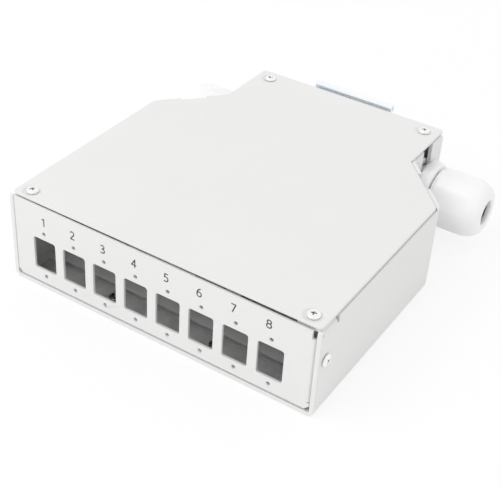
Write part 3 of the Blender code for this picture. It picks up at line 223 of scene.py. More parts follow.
def settings():
    """The values that the panel shows."""
    return bpy.context.scene.fibre_box


# Node helpers

def new_material(name):
    """A material with an empty node tree, and its main shader."""
    material = bpy.data.materials.new(name)
    material.use_nodes = True
    tree = material.node_tree
    tree.nodes.clear()
    output = tree.nodes.new("ShaderNodeOutputMaterial")
    shader = tree.nodes.new("ShaderNodeBsdfPrincipled")
    tree.links.new(shader.outputs["BSDF"], output.inputs["Surface"])
    return material, tree, shader


def object_coordinates(tree):
    """The piece's own coordinates, in metres."""
    return tree.nodes.new("ShaderNodeTexCoord").outputs["Object"]


def noise(tree, vector, scale, detail=2.0, roughness=0.5):
    """A noise texture's value."""
    node = tree.nodes.new("ShaderNodeTexNoise")
    node.inputs["Scale"].default_value = scale
    node.inputs["Detail"].default_value = detail
    node.inputs["Roughness"].default_value = roughness
    tree.links.new(vector, node.inputs["Vector"])
    return node.outputs["Fac"]


def stretched(tree, vector, scale):
    """Coordinates scaled by their own factor along each axis."""
    node = tree.nodes.new("ShaderNodeMapping")
    node.inputs["Scale"].default_value = scale
    tree.links.new(vector, node.inputs["Vector"])
    return node.outputs["Vector"]


def remap(tree, value, low, high, from_low=0.3, from_high=0.7):
    """A value moved to a new range."""
    node = tree.nodes.new("ShaderNodeMapRange")
    node.inputs["From Min"].default_value = from_low
    node.inputs["From Max"].default_value = from_high
    node.inputs["To Min"].default_value = low
    node.inputs["To Max"].default_value = high
    tree.links.new(value, node.inputs["Value"])
    return node.outputs["Result"]


def calculate(tree, operation, first, second):
    """A Math node on two values, each a socket or a number."""
    node = tree.nodes.new("ShaderNodeMath")
    node.operation = operation
    for index, value in enumerate((first, second)):
        if isinstance(value, (int, float)):
            node.inputs[index].default_value = value
        else:
            tree.links.new(value, node.inputs[index])
    return node.outputs["Value"]


def split(tree, vector):
    """The three parts of a vector."""
    node = tree.nodes.new("ShaderNodeSeparateXYZ")
    tree.links.new(vector, node.inputs["Vector"])
    return node.outputs


def mixed_colour(tree, factor, first, second):
    """A colour between two, each a socket or three numbers, by a factor."""
    node = tree.nodes.new("ShaderNodeMix")
    node.data_type = "RGBA"
    for name, colour in (("A", first), ("B", second)):
        if isinstance(colour, tuple):
            node.inputs[name].default_value = (*colour, 1.0)
        else:
            tree.links.new(colour, node.inputs[name])
    tree.links.new(factor, node.inputs["Factor"])
    return node.outputs["Result"]


def bump(tree, height, distance, strength=1.0, normal=None):
    """A surface normal moved by a height."""
    node = tree.nodes.new("ShaderNodeBump")
    node.inputs["Distance"].default_value = distance
    node.inputs["Strength"].default_value = strength
    tree.links.new(height, node.inputs["Height"])
    if normal is not None:
        tree.links.new(normal, node.inputs["Normal"])
    return node.outputs["Normal"]


def scaled(colour, factor):
    """A colour made darker or lighter."""
    return tuple(min(1.0, channel * factor) for channel in colour)


# Materials

def paint_material(name, colour, grain):
    """Powder coat: fine dimples, a faint change of tone and of gloss."""
    material, tree, shader = new_material(name)
    place = object_coordinates(tree)
    tone = noise(tree, place, 26.0, 3.0)
    cloud = noise(tree, place, 240.0, 2.0)
    fleck = noise(tree, place, 4200.0, 1.0)
    slow = mixed_colour(tree, remap(tree, tone, 0.0, 1.0), scaled(colour, 0.985), scaled(colour, 1.008))
    fine = mixed_colour(tree, remap(tree, cloud, 0.0, 0.5), slow, colour)
    tree.links.new(fine, shader.inputs["Base Color"])
    tree.links.new(remap(tree, fleck, 0.40, 0.52), shader.inputs["Roughness"])
    dimples = noise(tree, place, 1.0 / grain, 1.5)
    normal = bump(tree, fleck, 0.004 * MM, 0.5, bump(tree, dimples, 0.02 * MM, 0.5))
    tree.links.new(normal, shader.inputs["Normal"])
    return material


def recoloured(material, factor, first, second):
    """Give the part of a material that a factor picks out a mottled colour between two."""
    tree = material.node_tree
    shader = next(node for node in tree.nodes if node.type == "BSDF_PRINCIPLED")
    painted = shader.inputs["Base Color"].links[0].from_socket
    mottle = noise(tree, object_coordinates(tree), 900.0, 2.0)
    other = mixed_colour(tree, remap(tree, mottle, 0.0, 1.0), first, second)
    tree.links.new(mixed_colour(tree, factor, painted, other), shader.inputs["Base Color"])
    return material


def tray_material(name, colour, grain):
    """The powder coat of the tray, with painted shade on its faces that look to the front, which darkens its
    front edge.
    """
    material = paint_material(name, colour, grain)
    tree = material.node_tree
    normal_y = split(tree, tree.nodes.new("ShaderNodeNewGeometry").outputs["True Normal"])["Y"]
    # Painted shade: faces that look to the front get a mid grey, in place of the shadow under the tray's
    # front edge.
    front_shade = remap(tree, normal_y, 1.0, 0.0, -0.95, -0.7)
    return recoloured(material, front_shade, (0.38, 0.38, 0.38), (0.46, 0.46, 0.46))


def panel_material(name, colour, grain):
    """The powder coat of the panel, with painted shade on its inward flanges: a darker colour behind the face
    plate.
    """
    material = paint_material(name, colour, grain)
    tree = material.node_tree
    depth = split(tree, object_coordinates(tree))["Y"]
    # Painted shade: behind the face plate the paint turns darker, in place of the shade inside the box.
    inside = remap(tree, depth, 0.0, 1.0, PANEL_BACK_Y - 0.02 * MM, PANEL_BACK_Y + 0.04 * MM)
    return recoloured(material, inside, scaled(colour, 0.60), scaled(colour, 0.70))


def nickel_material(name, dull, bright):
    """Nickel plate with the rings that turning leaves round the screw's X axis, and a dark brown colour deep
    in the cross: painted shade in the recess, with a tint of dirt.
    """
    material, tree, shader = new_material(name)
    place = object_coordinates(tree)
    parts = split(tree, place)
    across = calculate(tree, "POWER", parts["Y"], 2.0)
    up = calculate(tree, "POWER", parts["Z"], 2.0)
    radius = calculate(tree, "SQRT", calculate(tree, "ADD", across, up), 0.0)
    rings = calculate(tree, "SINE", calculate(tree, "MULTIPLY", radius, TURNING_FREQUENCY), 0.0)
    tone = noise(tree, place, 700.0, 3.0)
    plate = mixed_colour(tree, remap(tree, tone, 0.0, 1.0), dull, bright)
    # Painted shade and dirt: deep in the cross the plate turns dark brown, a darker colour where the recess
    # is shaded, with a tint of dirt.
    in_recess = calculate(tree, "MULTIPLY", remap(tree, parts["X"], 1.0, 0.0, *CROSS_SHADE_AND_DIRT_DEPTH),
                          remap(tree, radius, 1.0, 0.0, *CROSS_SHADE_AND_DIRT_REACH))
    cross_shade_and_dirt = mixed_colour(tree, remap(tree, tone, 0.0, 1.0), (0.24, 0.21, 0.20), (0.42, 0.39, 0.38))
    tree.links.new(mixed_colour(tree, in_recess, plate, cross_shade_and_dirt), shader.inputs["Base Color"])
    tree.links.new(remap(tree, tone, 0.20, 0.34), shader.inputs["Roughness"])
    tree.links.new(bump(tree, rings, 0.0015 * MM, 0.5), shader.inputs["Normal"])
    shader.inputs["Metallic"].default_value = 1.0
    return material


def zinc_material(name):
    """Blue-passivated zinc on rolled strip: a cool sheen that drifts, and fine lines along X."""
    material, tree, shader = new_material(name)
    place = object_coordinates(tree)
    drift = noise(tree, place, 70.0, 3.0)
    lines = noise(tree, stretched(tree, place, (40.0, 900.0, 900.0)), 1.0, 2.0)
    base = mixed_colour(tree, remap(tree, drift, 0.0, 1.0), (0.86, 0.92, 0.98), (0.95, 0.965, 0.98))
    tree.links.new(base, shader.inputs["Base Color"])
    tree.links.new(remap(tree, lines, 0.26, 0.34), shader.inputs["Roughness"])
    tree.links.new(bump(tree, lines, 0.002 * MM, 0.12), shader.inputs["Normal"])
    shader.inputs["Metallic"].default_value = 0.6
    return material


def wire_material(name):
    """Drawn spring wire: dark, with lengthwise marks and a film of oil."""
    material, tree, shader = new_material(name)
    place = object_coordinates(tree)
    marks = noise(tree, place, 1800.0, 3.0)
    base = mixed_colour(tree, remap(tree, marks, 0.0, 1.0), (0.40, 0.40, 0.41), (0.58, 0.58, 0.58))
    tree.links.new(base, shader.inputs["Base Color"])
    tree.links.new(remap(tree, marks, 0.22, 0.40), shader.inputs["Roughness"])
    shader.inputs["Metallic"].default_value = 1.0
    return material


def moulded_material(name, colour, gloss_low, gloss_high):
    """Moulded plastic: a fine spark-eroded texture, flow clouds and a soft sheen."""
    material, tree, shader = new_material(name)
    place = object_coordinates(tree)
    flow = noise(tree, place, 55.0, 4.0)
    texture = noise(tree, place, 5200.0, 2.0)
    base = mixed_colour(tree, remap(tree, flow, 0.0, 1.0), scaled(colour, 0.975), scaled(colour, 1.01))
    tree.links.new(base, shader.inputs["Base Color"])
    tree.links.new(remap(tree, flow, gloss_low, gloss_high), shader.inputs["Roughness"])
    tree.links.new(bump(tree, texture, 0.004 * MM, 0.6), shader.inputs["Normal"])
    shader.inputs["Subsurface Weight"].default_value = 0.5
    shader.inputs["Subsurface Radius"].default_value = (1.0, 1.0, 1.0)
    shader.inputs["Subsurface Scale"].default_value = 3.0 * MM
    return material


def rubber_material(name):
    """Black rubber with a dull, dusty bloom."""
    material, tree, shader = new_material(name)
    place = object_coordinates(tree)
    bloom = noise(tree, place, 420.0, 4.0)
    base = mixed_colour(tree, remap(tree, bloom, 0.0, 1.0), (0.016, 0.016, 0.017), (0.045, 0.045, 0.046))
    tree.links.new(base, shader.inputs["Base Color"])
    tree.links.new(remap(tree, bloom, 0.6, 0.8), shader.inputs["Roughness"])
    tree.links.new(bump(tree, bloom, 0.02 * MM, 0.5), shader.inputs["Normal"])
    return material


def ink_material(name, colour):
    """Screen-printed ink, a little thinner in places."""
    material, tree, shader = new_material(name)
    place = object_coordinates(tree)
    cover = noise(tree, place, 2400.0, 2.0)
    base = mixed_colour(tree, remap(tree, cover, 0.0, 1.0), scaled(colour, 1.35), scaled(colour, 0.85))
    tree.links.new(base, shader.inputs["Base Color"])
    tree.links.new(remap(tree, cover, 0.5, 0.65), shader.inputs["Roughness"])
    return material


FINISHES = {}


def finish(slot):
    """The material of one of the record's slots, made once."""
    if slot not in FINISHES:
        values = settings()
        paint = tuple(values.paint_colour)
        moulded = tuple(values.moulded_colour)
        makers = {
            "grey_paint": (paint_material, "grey_powder_coat", paint, values.paint_grain),
            "nickel_steel": (nickel_material, "nickel_plate", (0.90, 0.895, 0.89), (0.97, 0.965, 0.96)),
            # Painted shade: a darker copy of the nickel plate for the foot screws inside the box.
            "dark_nickel": (nickel_material, "dark_nickel_plate", (0.16, 0.16, 0.155), (0.26, 0.26, 0.25)),
            "zinc_steel": (zinc_material, "zinc_plate"),
            "spring_steel": (wire_material, "spring_wire"),
            "white_polyamide": (moulded_material, "white_polyamide", moulded, 0.34, 0.44),
            "black_rubber": (rubber_material, "black_rubber"),
            "comb_plastic": (moulded_material, "comb_plastic", (0.78, 0.78, 0.76), 0.38, 0.5),
        }
        make, *details = makers[slot]
        FINISHES[slot] = make(*details)
    return FINISHES[slot]


# Mesh helpers

def new_object(name, shape):
    """An object from a bmesh, which is freed."""
    bmesh.ops.recalc_face_normals(shape, faces=shape.faces[:])
    mesh = bpy.data.meshes.new(name)
    shape.to_mesh(mesh)
    shape.free()
    piece = bpy.data.objects.new(name, mesh)
    bpy.context.scene.collection.objects.link(piece)
    return piece


def settle(piece):
    """Turn a piece's modifiers into plain mesh."""
    bpy.context.view_layer.update()
    graph = bpy.context.evaluated_depsgraph_get()
    evaluated = piece.evaluated_get(graph)
    mesh = bpy.data.meshes.new_from_object(evaluated, preserve_all_data_layers=True, depsgraph=graph)
    mesh.name = piece.name
    piece.modifiers.clear()
    piece.data = mesh


def carve(piece, tools, operation="DIFFERENCE"):
    """Cut tools out of a piece, or join them to it, and delete the tools."""
    for tool in tools:
        modifier = piece.modifiers.new("carve", "BOOLEAN")
        modifier.object = tool
        modifier.operation = operation
        modifier.solver = "EXACT"
    settle(piece)
    for tool in tools:
        bpy.data.objects.remove(tool, do_unlink=True)


def soften(piece, angle):
    """Smooth shading that stops at edges sharper than an angle in degrees."""
    for face in piece.data.polygons:
        face.use_smooth = True
    piece.data.set_sharp_from_angle(angle=math.radians(angle))


def round_edges(piece, radius, segments=3):
    """Give the sharp edges of a sheet a small radius, with its flats kept flat."""
    bevel = piece.modifiers.new("edge_radius", "BEVEL")
    bevel.width = radius
    bevel.segments = segments
    bevel.limit_method = "ANGLE"
    bevel.angle_limit = math.radians(EDGE_ANGLE)
    bevel.use_clamp_overlap = False
    bevel.loop_slide = False
    bevel.miter_outer = "MITER_ARC"
    weights = piece.modifiers.new("flat_faces", "WEIGHTED_NORMAL")
    weights.keep_sharp = True
    weights.weight = 100


def refine_node(name, slot, radius, material=None):
    """Keep a CAD node of folded sheet: whole flats again, rounded edges and its finish."""
    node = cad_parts[name]
    weld = node.modifiers.new("weld", "WELD")
    weld.merge_threshold = WELD_DISTANCE
    flats = node.modifiers.new("flats", "DECIMATE")
    flats.decimate_type = "DISSOLVE"
    flats.angle_limit = math.radians(FLAT_ANGLE)
    round_edges(node, radius, 2)
    node.data.materials.clear()
    node.data.materials.append(material or finish(slot))


def copy_of_node(name, piece_name, before=None, additions=(), after=None):
    """A new piece with a CAD node's mesh, its flats made whole again.

    before(shape) alters the CAD's mesh, additions are joined to it, and after(shape) alters the result.
    """
    shape = bmesh.new()
    shape.from_mesh(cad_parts[name].data)
    bmesh.ops.remove_doubles(shape, verts=shape.verts[:], dist=WELD_DISTANCE)
    if before:
        before(shape)
    piece = new_object(piece_name, shape)
    carve(piece, additions, "UNION")
    shape = bmesh.new()
    shape.from_mesh(piece.data)
    bmesh.ops.remove_doubles(shape, verts=shape.verts[:], dist=WELD_DISTANCE)
    bmesh.ops.triangulate(shape, faces=shape.faces[:])
    bmesh.ops.dissolve_limit(shape, angle_limit=math.radians(FLAT_ANGLE), verts=shape.verts[:],
                             edges=shape.edges[:])
    if after:
        after(shape)
    shape.to_mesh(piece.data)
    shape.free()
    if "custom_normal" in piece.data.attributes:
        piece.data.attributes.remove(piece.data.attributes["custom_normal"])
    return piece


def mount(piece, slot, body, *nodes):
    """Finish a piece: its material, the body that it rides on and the CAD nodes that it stands for."""
    if not piece.data.materials:
        piece.data.materials.append(finish(slot))
    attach(piece, body)
    if nodes:
        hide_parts(*nodes)
    return piece


def lathe(name, profile, steps, reach=None, closed=False):
    """Turn a profile of (x, radius) round X. reach(x, radius, angle) may change the radius at an angle."""
    shape = bmesh.new()
    rings = []
    for x, radius in profile:
        if radius == 0.0:
            rings.append([shape.verts.new((x, 0.0, 0.0))] * steps)
            continue
        ring = []
        for step in range(steps):
            angle = 2 * math.pi * step / steps
            length = reach(x, radius, angle) if reach else radius
            ring.append(shape.verts.new((x, length * math.cos(angle), length * math.sin(angle))))
        rings.append(ring)
    following_rings = rings[1:] + rings[:1] if closed else rings[1:]
    for first, second in zip(rings, following_rings):
        for step in range(steps):
            after = (step + 1) % steps
            corners = [first[step], first[after], second[after], second[step]]
            corners = [vert for index, vert in enumerate(corners) if vert not in corners[:index]]
            if len(corners) > 2:
                shape.faces.new(corners)
    return new_object(name, shape)


def eased(points, radius, steps=4, closed=True):
    """A profile whose corners are rounded with a radius, or less where its runs are short."""
    result = []
    count = len(points)
    for index, point in enumerate(points):
        if not closed and index in (0, count - 1):
            result.append(point)
            continue
        corner = Vector(point)
        before = Vector(points[index - 1]) - corner
        after = Vector(points[(index + 1) % count]) - corner
        turn = before.angle(after)
        if turn > math.radians(170):
            result.append(point)
            continue
        reach = min(radius / math.tan(turn / 2), before.length * 0.45, after.length * 0.45)
        start = corner + before.normalized() * reach
        end = corner + after.normalized() * reach
        for step in range(steps + 1):
            share = step / steps
            bend = start.lerp(corner, share).lerp(corner.lerp(end, share), share)
            result.append((bend.x, bend.y))
    return result


def hexagon_reach(flats, angle):
    """Distance from the centre to a hexagon's side at an angle, with a corner at angle 0."""
    third = math.pi / 3
    within = (angle % third) - third / 2
    return flats / 2 / math.cos(within)


def soft_least(first, second, blend):
    """The smaller of two lengths, blended where they are close."""
    gap = (first - second) / blend
    if abs(gap) > 30:
        return min(first, second)
    return min(first, second) - blend * math.log1p(math.exp(-abs(gap)))


# Cover and panel

def screw_axis(name):
    """Where a screw sits: the centre of its head's top, and the direction it points out."""
    low, high = (Vector(corner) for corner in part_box(name))
    middle = (low + high) / 2
    if "side" in name:
        out = Vector((math.copysign(1.0, middle.x), 0.0, 0.0))
    elif "clip" in name:
        out = Vector((0.0, 1.0, 0.0))
    else:
        out = Vector((0.0, 0.0, 1.0))
    half = (high - low) / 2
    return middle + Vector([axis * size for axis, size in zip(out, half)]), out


COVER_SCREWS = [name for name in sorted(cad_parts) if name.startswith("cover_screw")]


def pressed_seat_tool(centre, top_z):
    """A smooth bowl that presses a screw seat into the cover."""
    profile = [(SEAT_DEPTH, 0.0), (SEAT_DEPTH, SEAT_RIM_RADIUS)]
    for ring in range(SEAT_RINGS + 1):
        share = ring / SEAT_RINGS
        radius = SEAT_RIM_RADIUS + (SEAT_FLOOR_RADIUS - SEAT_RIM_RADIUS) * share
        depth = -SEAT_DEPTH * (1 - math.cos(math.pi * share)) / 2
        profile.append((depth + SEAT_LIFT, radius))
    profile.append((-SEAT_DEPTH, 0.0))
    tool = lathe("seat_tool", profile, SEAT_STEPS)
    upright = Matrix.Rotation(-math.pi / 2, 4, "Y")
    tool.matrix_world = Matrix.Translation((centre.x, centre.y, top_z)) @ upright
    return tool


class FIBREBOX_OT_cover(bpy.types.Operator):
    """Build the cover plate with its pressed screw seats"""

    bl_idname = "fibrebox.cover"
    bl_label = "Cover"

    def execute(self, context):
        piece = copy_of_node("top_cover", "cover_plate")
        top_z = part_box("top_cover")[1][2]
        carve(piece, [pressed_seat_tool(screw_axis(name)[0], top_z) for name in COVER_SCREWS])
        round_edges(piece, settings().edge_radius)
        settle(piece)
        mount(piece, "grey_paint", "housing", "top_cover")
        return {"FINISHED"}


def port_centres():
    """X of each cut-out, from left to right."""
    first = PORT_ROW_X - PORT_PITCH * (PORT_COUNT - 1) / 2
    return [first + PORT_PITCH * index for index in range(PORT_COUNT)]


def fixing_hole_centres():
    """The X and Z of each fixing hole, one above and one below each cut-out."""
    half = FIXING_HOLE_SPACING / 2
    return [(x, z) for x in port_centres() for z in (PORT_CENTRE_Z - half, PORT_CENTRE_Z + half)]


def add_points(edge, count):
    """Put evenly spaced points on an edge without cutting its faces, and give them back."""
    start, end = edge.verts
    points = []
    for left in range(count, 0, -1):
        point = bmesh.utils.edge_split(edge, start, 1 / (left + 1))[1]
        points.append(point)
        edge = next(other for other in point.link_edges if end in other.verts)
        start = point
    return points


def join_across_walls(points):
    """Cut a hole's walls into strips between the new points of its front and back rims."""
    for front in points:
        for back in points:
            level = abs(front.co.x - back.co.x) + abs(front.co.z - back.co.z) < WELD_DISTANCE
            if level and back.co.y > front.co.y + WELD_DISTANCE:
                for face in set(front.link_faces) & set(back.link_faces):
                    bmesh.utils.face_split(face, front, back)
                    break


def round_fixing_holes(shape):
    """Make the CAD's coarse fixing holes round and as wide as the real ones."""
    for x, z in fixing_hole_centres():
        def beside(vert):
            return math.hypot(vert.co.x - x, vert.co.z - z) < FIXING_HOLE_REACH

        rims = [edge for edge in shape.edges
                if all(beside(vert) for vert in edge.verts)
                and abs(edge.verts[0].co.y - edge.verts[1].co.y) < WELD_DISTANCE
                and len({abs(face.normal.y) > 0.5 for face in edge.link_faces}) == 2]
        points = []
        for rim in rims:
            points += add_points(rim, FIXING_HOLE_CUTS)
        join_across_walls(points)
        for vert in shape.verts:
            if beside(vert):
                factor = FIXING_HOLE_DIAMETER / 2 / math.hypot(vert.co.x - x, vert.co.z - z)
                vert.co.x = x + (vert.co.x - x) * factor
                vert.co.z = z + (vert.co.z - z) * factor


def panel_rise(x):
    """How much higher than the CAD's the panel's top edge is at an X."""
    return PANEL_LEFT_RISE * (PANEL_SIDE_X - x) / (2 * PANEL_SIDE_X)


def seat_panel(shape, face_y):
    """Fit the panel to the left wall and the cover."""
    slack = 0.02 * MM
    for vert in shape.verts:
        point = vert.co
        if point.z > PANEL_TOP_Z - slack and point.y < face_y + PANEL_SHEET + slack:
            point.z += panel_rise(point.x)
        if point.x < -PANEL_SHIFT_SIDE:
            point.x -= PANEL_SHIFT


def left_strip(face_y):
    """The strip that brings the panel's face out to a sharp fold at the left."""
    outer = -PANEL_SIDE_X - PANEL_SHIFT
    inner = outer + LEFT_STRIP_WIDTH
    shape = bmesh.new()
    rings = []
    for y in (face_y, face_y + PANEL_SHEET):
        outline = ((outer, LEFT_STRIP_FOOT_Z), (inner, LEFT_STRIP_FOOT_Z),
                   (inner, PANEL_TOP_Z + panel_rise(inner)), (outer, PANEL_TOP_Z + panel_rise(outer)))
        rings.append([shape.verts.new((x, y, z)) for x, z in outline])
    for ring in rings:
        shape.faces.new(ring)
    for index in range(4):
        after = (index + 1) % 4
        shape.faces.new((rings[0][index], rings[0][after], rings[1][after], rings[1][index]))
    return new_object("left_strip", shape)


class FIBREBOX_OT_front_panel(bpy.types.Operator):
    """Build the front panel with its cut-outs and fixing holes"""

    bl_idname = "fibrebox.front_panel"
    bl_label = "Front panel"

    def execute(self, context):
        values = settings()
        face_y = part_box("front_panel")[0][1]
        piece = copy_of_node("front_panel", "panel_sheet", lambda shape: seat_panel(shape, face_y),
                             [left_strip(face_y)], round_fixing_holes)
        round_edges(piece, values.edge_radius)
        settle(piece)
        piece.data.materials.clear()
        piece.data.materials.append(panel_material("panel_powder_coat", tuple(values.paint_colour),
                                                   values.paint_grain))
        mount(piece, "grey_paint", "housing", "front_panel")
        return {"FINISHED"}


# Numbers: strokes in a box one unit high, each a list of points and whether it is closed

def oval(centre_x, centre_y, half_x, half_y):
    """Points round an oval."""
    steps = 40
    return [(centre_x + half_x * math.cos(2 * math.pi * step / steps),
             centre_y + half_y * math.sin(2 * math.pi * step / steps)) for step in range(steps)]


def through(points, steps=8):
    """A smooth line through points."""
    padded = [points[0]] + list(points) + [points[-1]]
    line = []
    for index in range(len(points) - 1):
        before, start, end, after = (Vector(point) for point in padded[index:index + 4])
        for step in range(steps):
            t = step / steps
            line.append(tuple(0.5 * (2 * start + (end - before) * t
                                     + (2 * before - 5 * start + 4 * end - after) * t * t
                                     + (3 * start - before - 3 * end + after) * t ** 3)))
    return line + [tuple(points[-1])]


NUMBER_STROKES = {
    "1": [([(0.08, 0.79), (0.34, 0.95)], False), ([(0.33, 0.98), (0.33, 0.0)], False)],
    "2": [(through([(0.05, 0.80), (0.14, 0.92), (0.30, 0.95), (0.45, 0.88), (0.50, 0.72), (0.43, 0.54),
                    (0.25, 0.31), (0.06, 0.06)]), False),
          ([(0.02, 0.05), (0.57, 0.05)], False)],
    "3": [(through([(0.07, 0.87), (0.24, 0.95), (0.42, 0.89), (0.48, 0.74), (0.40, 0.60),
                    (0.18, 0.53)]), False),
          (through([(0.18, 0.53), (0.42, 0.47), (0.53, 0.29), (0.44, 0.11), (0.24, 0.04),
                    (0.04, 0.10)]), False)],
    "4": [([(0.44, 0.0), (0.44, 0.98)], False), ([(0.47, 0.98), (0.04, 0.27)], False),
          ([(0.0, 0.29), (0.61, 0.29)], False)],
    "5": [([(0.52, 0.94), (0.12, 0.94)], False), ([(0.16, 0.98), (0.11, 0.53)], False),
          (through([(0.10, 0.54), (0.28, 0.595), (0.45, 0.51), (0.52, 0.31), (0.43, 0.12), (0.25, 0.05),
                    (0.04, 0.09)]), False)],
    "6": [(through([(0.46, 0.96), (0.26, 0.84), (0.11, 0.60), (0.06, 0.31)]), False),
          (oval(0.31, 0.30, 0.25, 0.26), True)],
    "7": [([(0.03, 0.94), (0.57, 0.94)], False), ([(0.54, 0.98), (0.18, 0.0)], False)],
    "8": [(oval(0.30, 0.28, 0.26, 0.24), True), (oval(0.30, 0.735, 0.215, 0.215), True)],
}


def ribbon(name, points, closed, weight, place):
    """A flat ribbon of ink along a line of (x, z) points."""
    count = len(points)
    line = [Vector(point) for point in points]
    left = []
    right = []
    for index, point in enumerate(line):
        before = line[index - 1] if closed or index else None
        after = line[(index + 1) % count] if closed or index < count - 1 else None
        ahead = (after - point).normalized() if after is not None else (point - before).normalized()
        behind = (point - before).normalized() if before is not None else ahead
        mean = (ahead + behind).normalized()
        side = Vector((-mean.y, mean.x))
        stretch = min(1.0 / max(SHARPEST_MITRE, mean.dot(ahead)), LONGEST_MITRE)
        left.append(point + side * (weight / 2 * stretch))
        right.append(point - side * (weight / 2 * stretch))
    shape = bmesh.new()
    rows = [[shape.verts.new((point.x, y, point.y)) for point in side]
            for side in (left, right) for y in (place, place + INK_THICKNESS)]
    spans = range(count) if closed else range(count - 1)
    for index in spans:
        after = (index + 1) % count
        for first, second in ((0, 2), (3, 1), (1, 0), (2, 3)):
            shape.faces.new((rows[first][index], rows[first][after],
                             rows[second][after], rows[second][index]))
    if not closed:
        for index in (0, count - 1):
            shape.faces.new([rows[row][index] for row in (0, 1, 3, 2)])
    return new_object(name, shape)


class FIBREBOX_OT_numbers(bpy.types.Operator):
    """Print the numbers 1 to 8 above the cut-outs"""

    bl_idname = "fibrebox.numbers"
    bl_label = "Numbers"

    def execute(self, context):
        values = settings()
        ink = ink_material("number_ink", tuple(values.ink_colour))
        height = values.number_height
        face_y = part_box("front_panel")[0][1]
        for index, x in enumerate(port_centres()):
            digit = str(index + 1)
            strokes = NUMBER_STROKES[digit]
            share = index / (PORT_COUNT - 1)
            centre_x = x - NUMBER_DRIFT * share
            centre_z = NUMBER_CENTRE_Z + NUMBER_RISE * share
            edges = [point[0] for points, closed in strokes for point in points]
            middle = (min(edges) + max(edges)) / 2
            parts = []
            for points, closed in strokes:
                placed = [(centre_x + (px - middle) * height, centre_z + (pz - 0.5) * height)
                          for px, pz in points]
                parts.append(ribbon("number_" + digit, placed, closed, values.number_weight,
                                    face_y - INK_THICKNESS))
            piece = parts[0]
            if len(parts) > 1:
                carve(piece, parts[1:], "UNION")
            piece.data.materials.clear()
            piece.data.materials.append(ink)
            mount(piece, "grey_paint", "housing")
        return {"FINISHED"}


# Housing, tray and comb

class FIBREBOX_OT_housing(bpy.types.Operator):
    """Finish the folded housing, the splice tray and its comb"""

    bl_idname = "fibrebox.housing"
    bl_label = "Housing and tray"

    def execute(self, context):
        values = settings()
        refine_node("base_tray", "grey_paint", values.edge_radius)
        tray = tray_material("tray_powder_coat", tuple(values.paint_colour), values.paint_grain)
        refine_node("splice_tray", "grey_paint", values.edge_radius, tray)
        refine_node("splice_comb", "comb_plastic", values.edge_radius)
        return {"FINISHED"}


# Screws

def cross_tool():
    """The tapered cross that a driver fits, from above the head down to the cross's floor."""
    half_span = CROSS_SPAN / 2
    half_width = CROSS_WIDTH / 2
    shape = bmesh.new()
    rings = []
    for x, span, width in ((CROSS_DEPTH, half_span * CROSS_MOUTH_SPAN, half_width * CROSS_MOUTH_WIDTH),
                           (-CROSS_DEPTH, half_span * CROSS_FLOOR_SPAN, half_width * CROSS_FLOOR_WIDTH)):
        ring = []
        for quarter in range(4):
            turn = Matrix.Rotation(quarter * math.pi / 2, 2)
            tip = width * CROSS_TIP_WIDTH
            for arm in ((width, -width), (span, -tip), (span, tip)):
                corner = turn @ Vector(arm)
                ring.append(shape.verts.new((x, corner.x, corner.y)))
        rings.append(ring)
    count = len(rings[0])
    for index in range(count):
        after = (index + 1) % count
        shape.faces.new((rings[0][index], rings[0][after], rings[1][after], rings[1][index]))
    for ring in rings:
        shape.faces.new(ring)
    return new_object("cross_tool", shape)


def screw_mesh(length, head_radius, plating):
    """A pan-head screw along X: the top of its head at the origin, its tip at -length, with a cut thread."""
    shank = SHANK_RADIUS
    seat = -HEAD_HEIGHT
    rows = max(6, round((length - HEAD_HEIGHT) / THREAD_PITCH * THREAD_RINGS))
    profile = [(-length, 0.0)]
    for row in range(rows + 1):
        x = -length + (length - HEAD_HEIGHT) * row / rows
        profile.append((x, shank * min(1.0, TIP_SHARE + (1 - TIP_SHARE) * (x + length) / TIP_LENGTH)))
    rim = HEAD_HEIGHT * HEAD_SIDE_SHARE
    crown = HEAD_HEIGHT - rim
    profile += [(seat, head_radius * HEAD_SEAT_SHARE), (seat + rim * HEAD_LIP_SHARE, head_radius)]
    for step in range(HEAD_RINGS + 1):
        angle = math.pi / 2 * step / HEAD_RINGS
        profile.append((seat + rim + crown * math.sin(angle),
                        head_radius * math.cos(angle) ** HEAD_FULLNESS if step < HEAD_RINGS else 0.0))

    def thread(x, radius, angle):
        if x > seat - THREAD_PITCH or radius > shank:
            return radius
        phase = (x / THREAD_PITCH - angle / (2 * math.pi)) % 1.0
        return radius - THREAD_DEPTH * abs(2 * phase - 1)

    screw = lathe("screw", profile, SCREW_STEPS, thread)
    carve(screw, [cross_tool()])
    soften(screw, SCREW_EDGE_ANGLE)
    mesh = screw.data
    bpy.data.objects.remove(screw, do_unlink=True)
    mesh.materials.clear()
    mesh.materials.append(finish(plating))
    return mesh


class FIBREBOX_OT_screws(bpy.types.Operator):
    """Build the cross-recessed screws"""

    bl_idname = "fibrebox.screws"
    bl_label = "Screws"

    def execute(self, context):
        meshes = {}
        for name in sorted(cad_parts):
            if "screw" not in name:
                continue
            low, high = (Vector(corner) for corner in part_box(name))
            top, out = screw_axis(name)
            length = round(abs((high - low).dot(out)), 6)
            across = Vector([size for size, axis in zip(high - low, out) if not axis])
            radius = max(across) / 2
            # Painted shade: the foot screws sit in the shade inside the box, so they get the darker copy of
            # the plate.
            plating = "dark_nickel" if "foot" in name else "nickel_steel"
            key = (length, round(radius, 5), plating)
            if key not in meshes:
                meshes[key] = screw_mesh(*key)
            piece = bpy.data.objects.new(name + "_turned", meshes[key])
            bpy.context.scene.collection.objects.link(piece)
            own_turn = Matrix.Rotation(CROSS_TURNS.get(name, 0.0), 4, "X")
            piece.matrix_world = (Matrix.Translation(top) @ Vector((1.0, 0.0, 0.0)).rotation_difference(out)
                                  .to_matrix().to_4x4() @ own_turn)
            mount(piece, "nickel_steel", "housing", name)
        return {"FINISHED"}


# Cable glands, each turned round X with the outer face of the neck wall at x = 0

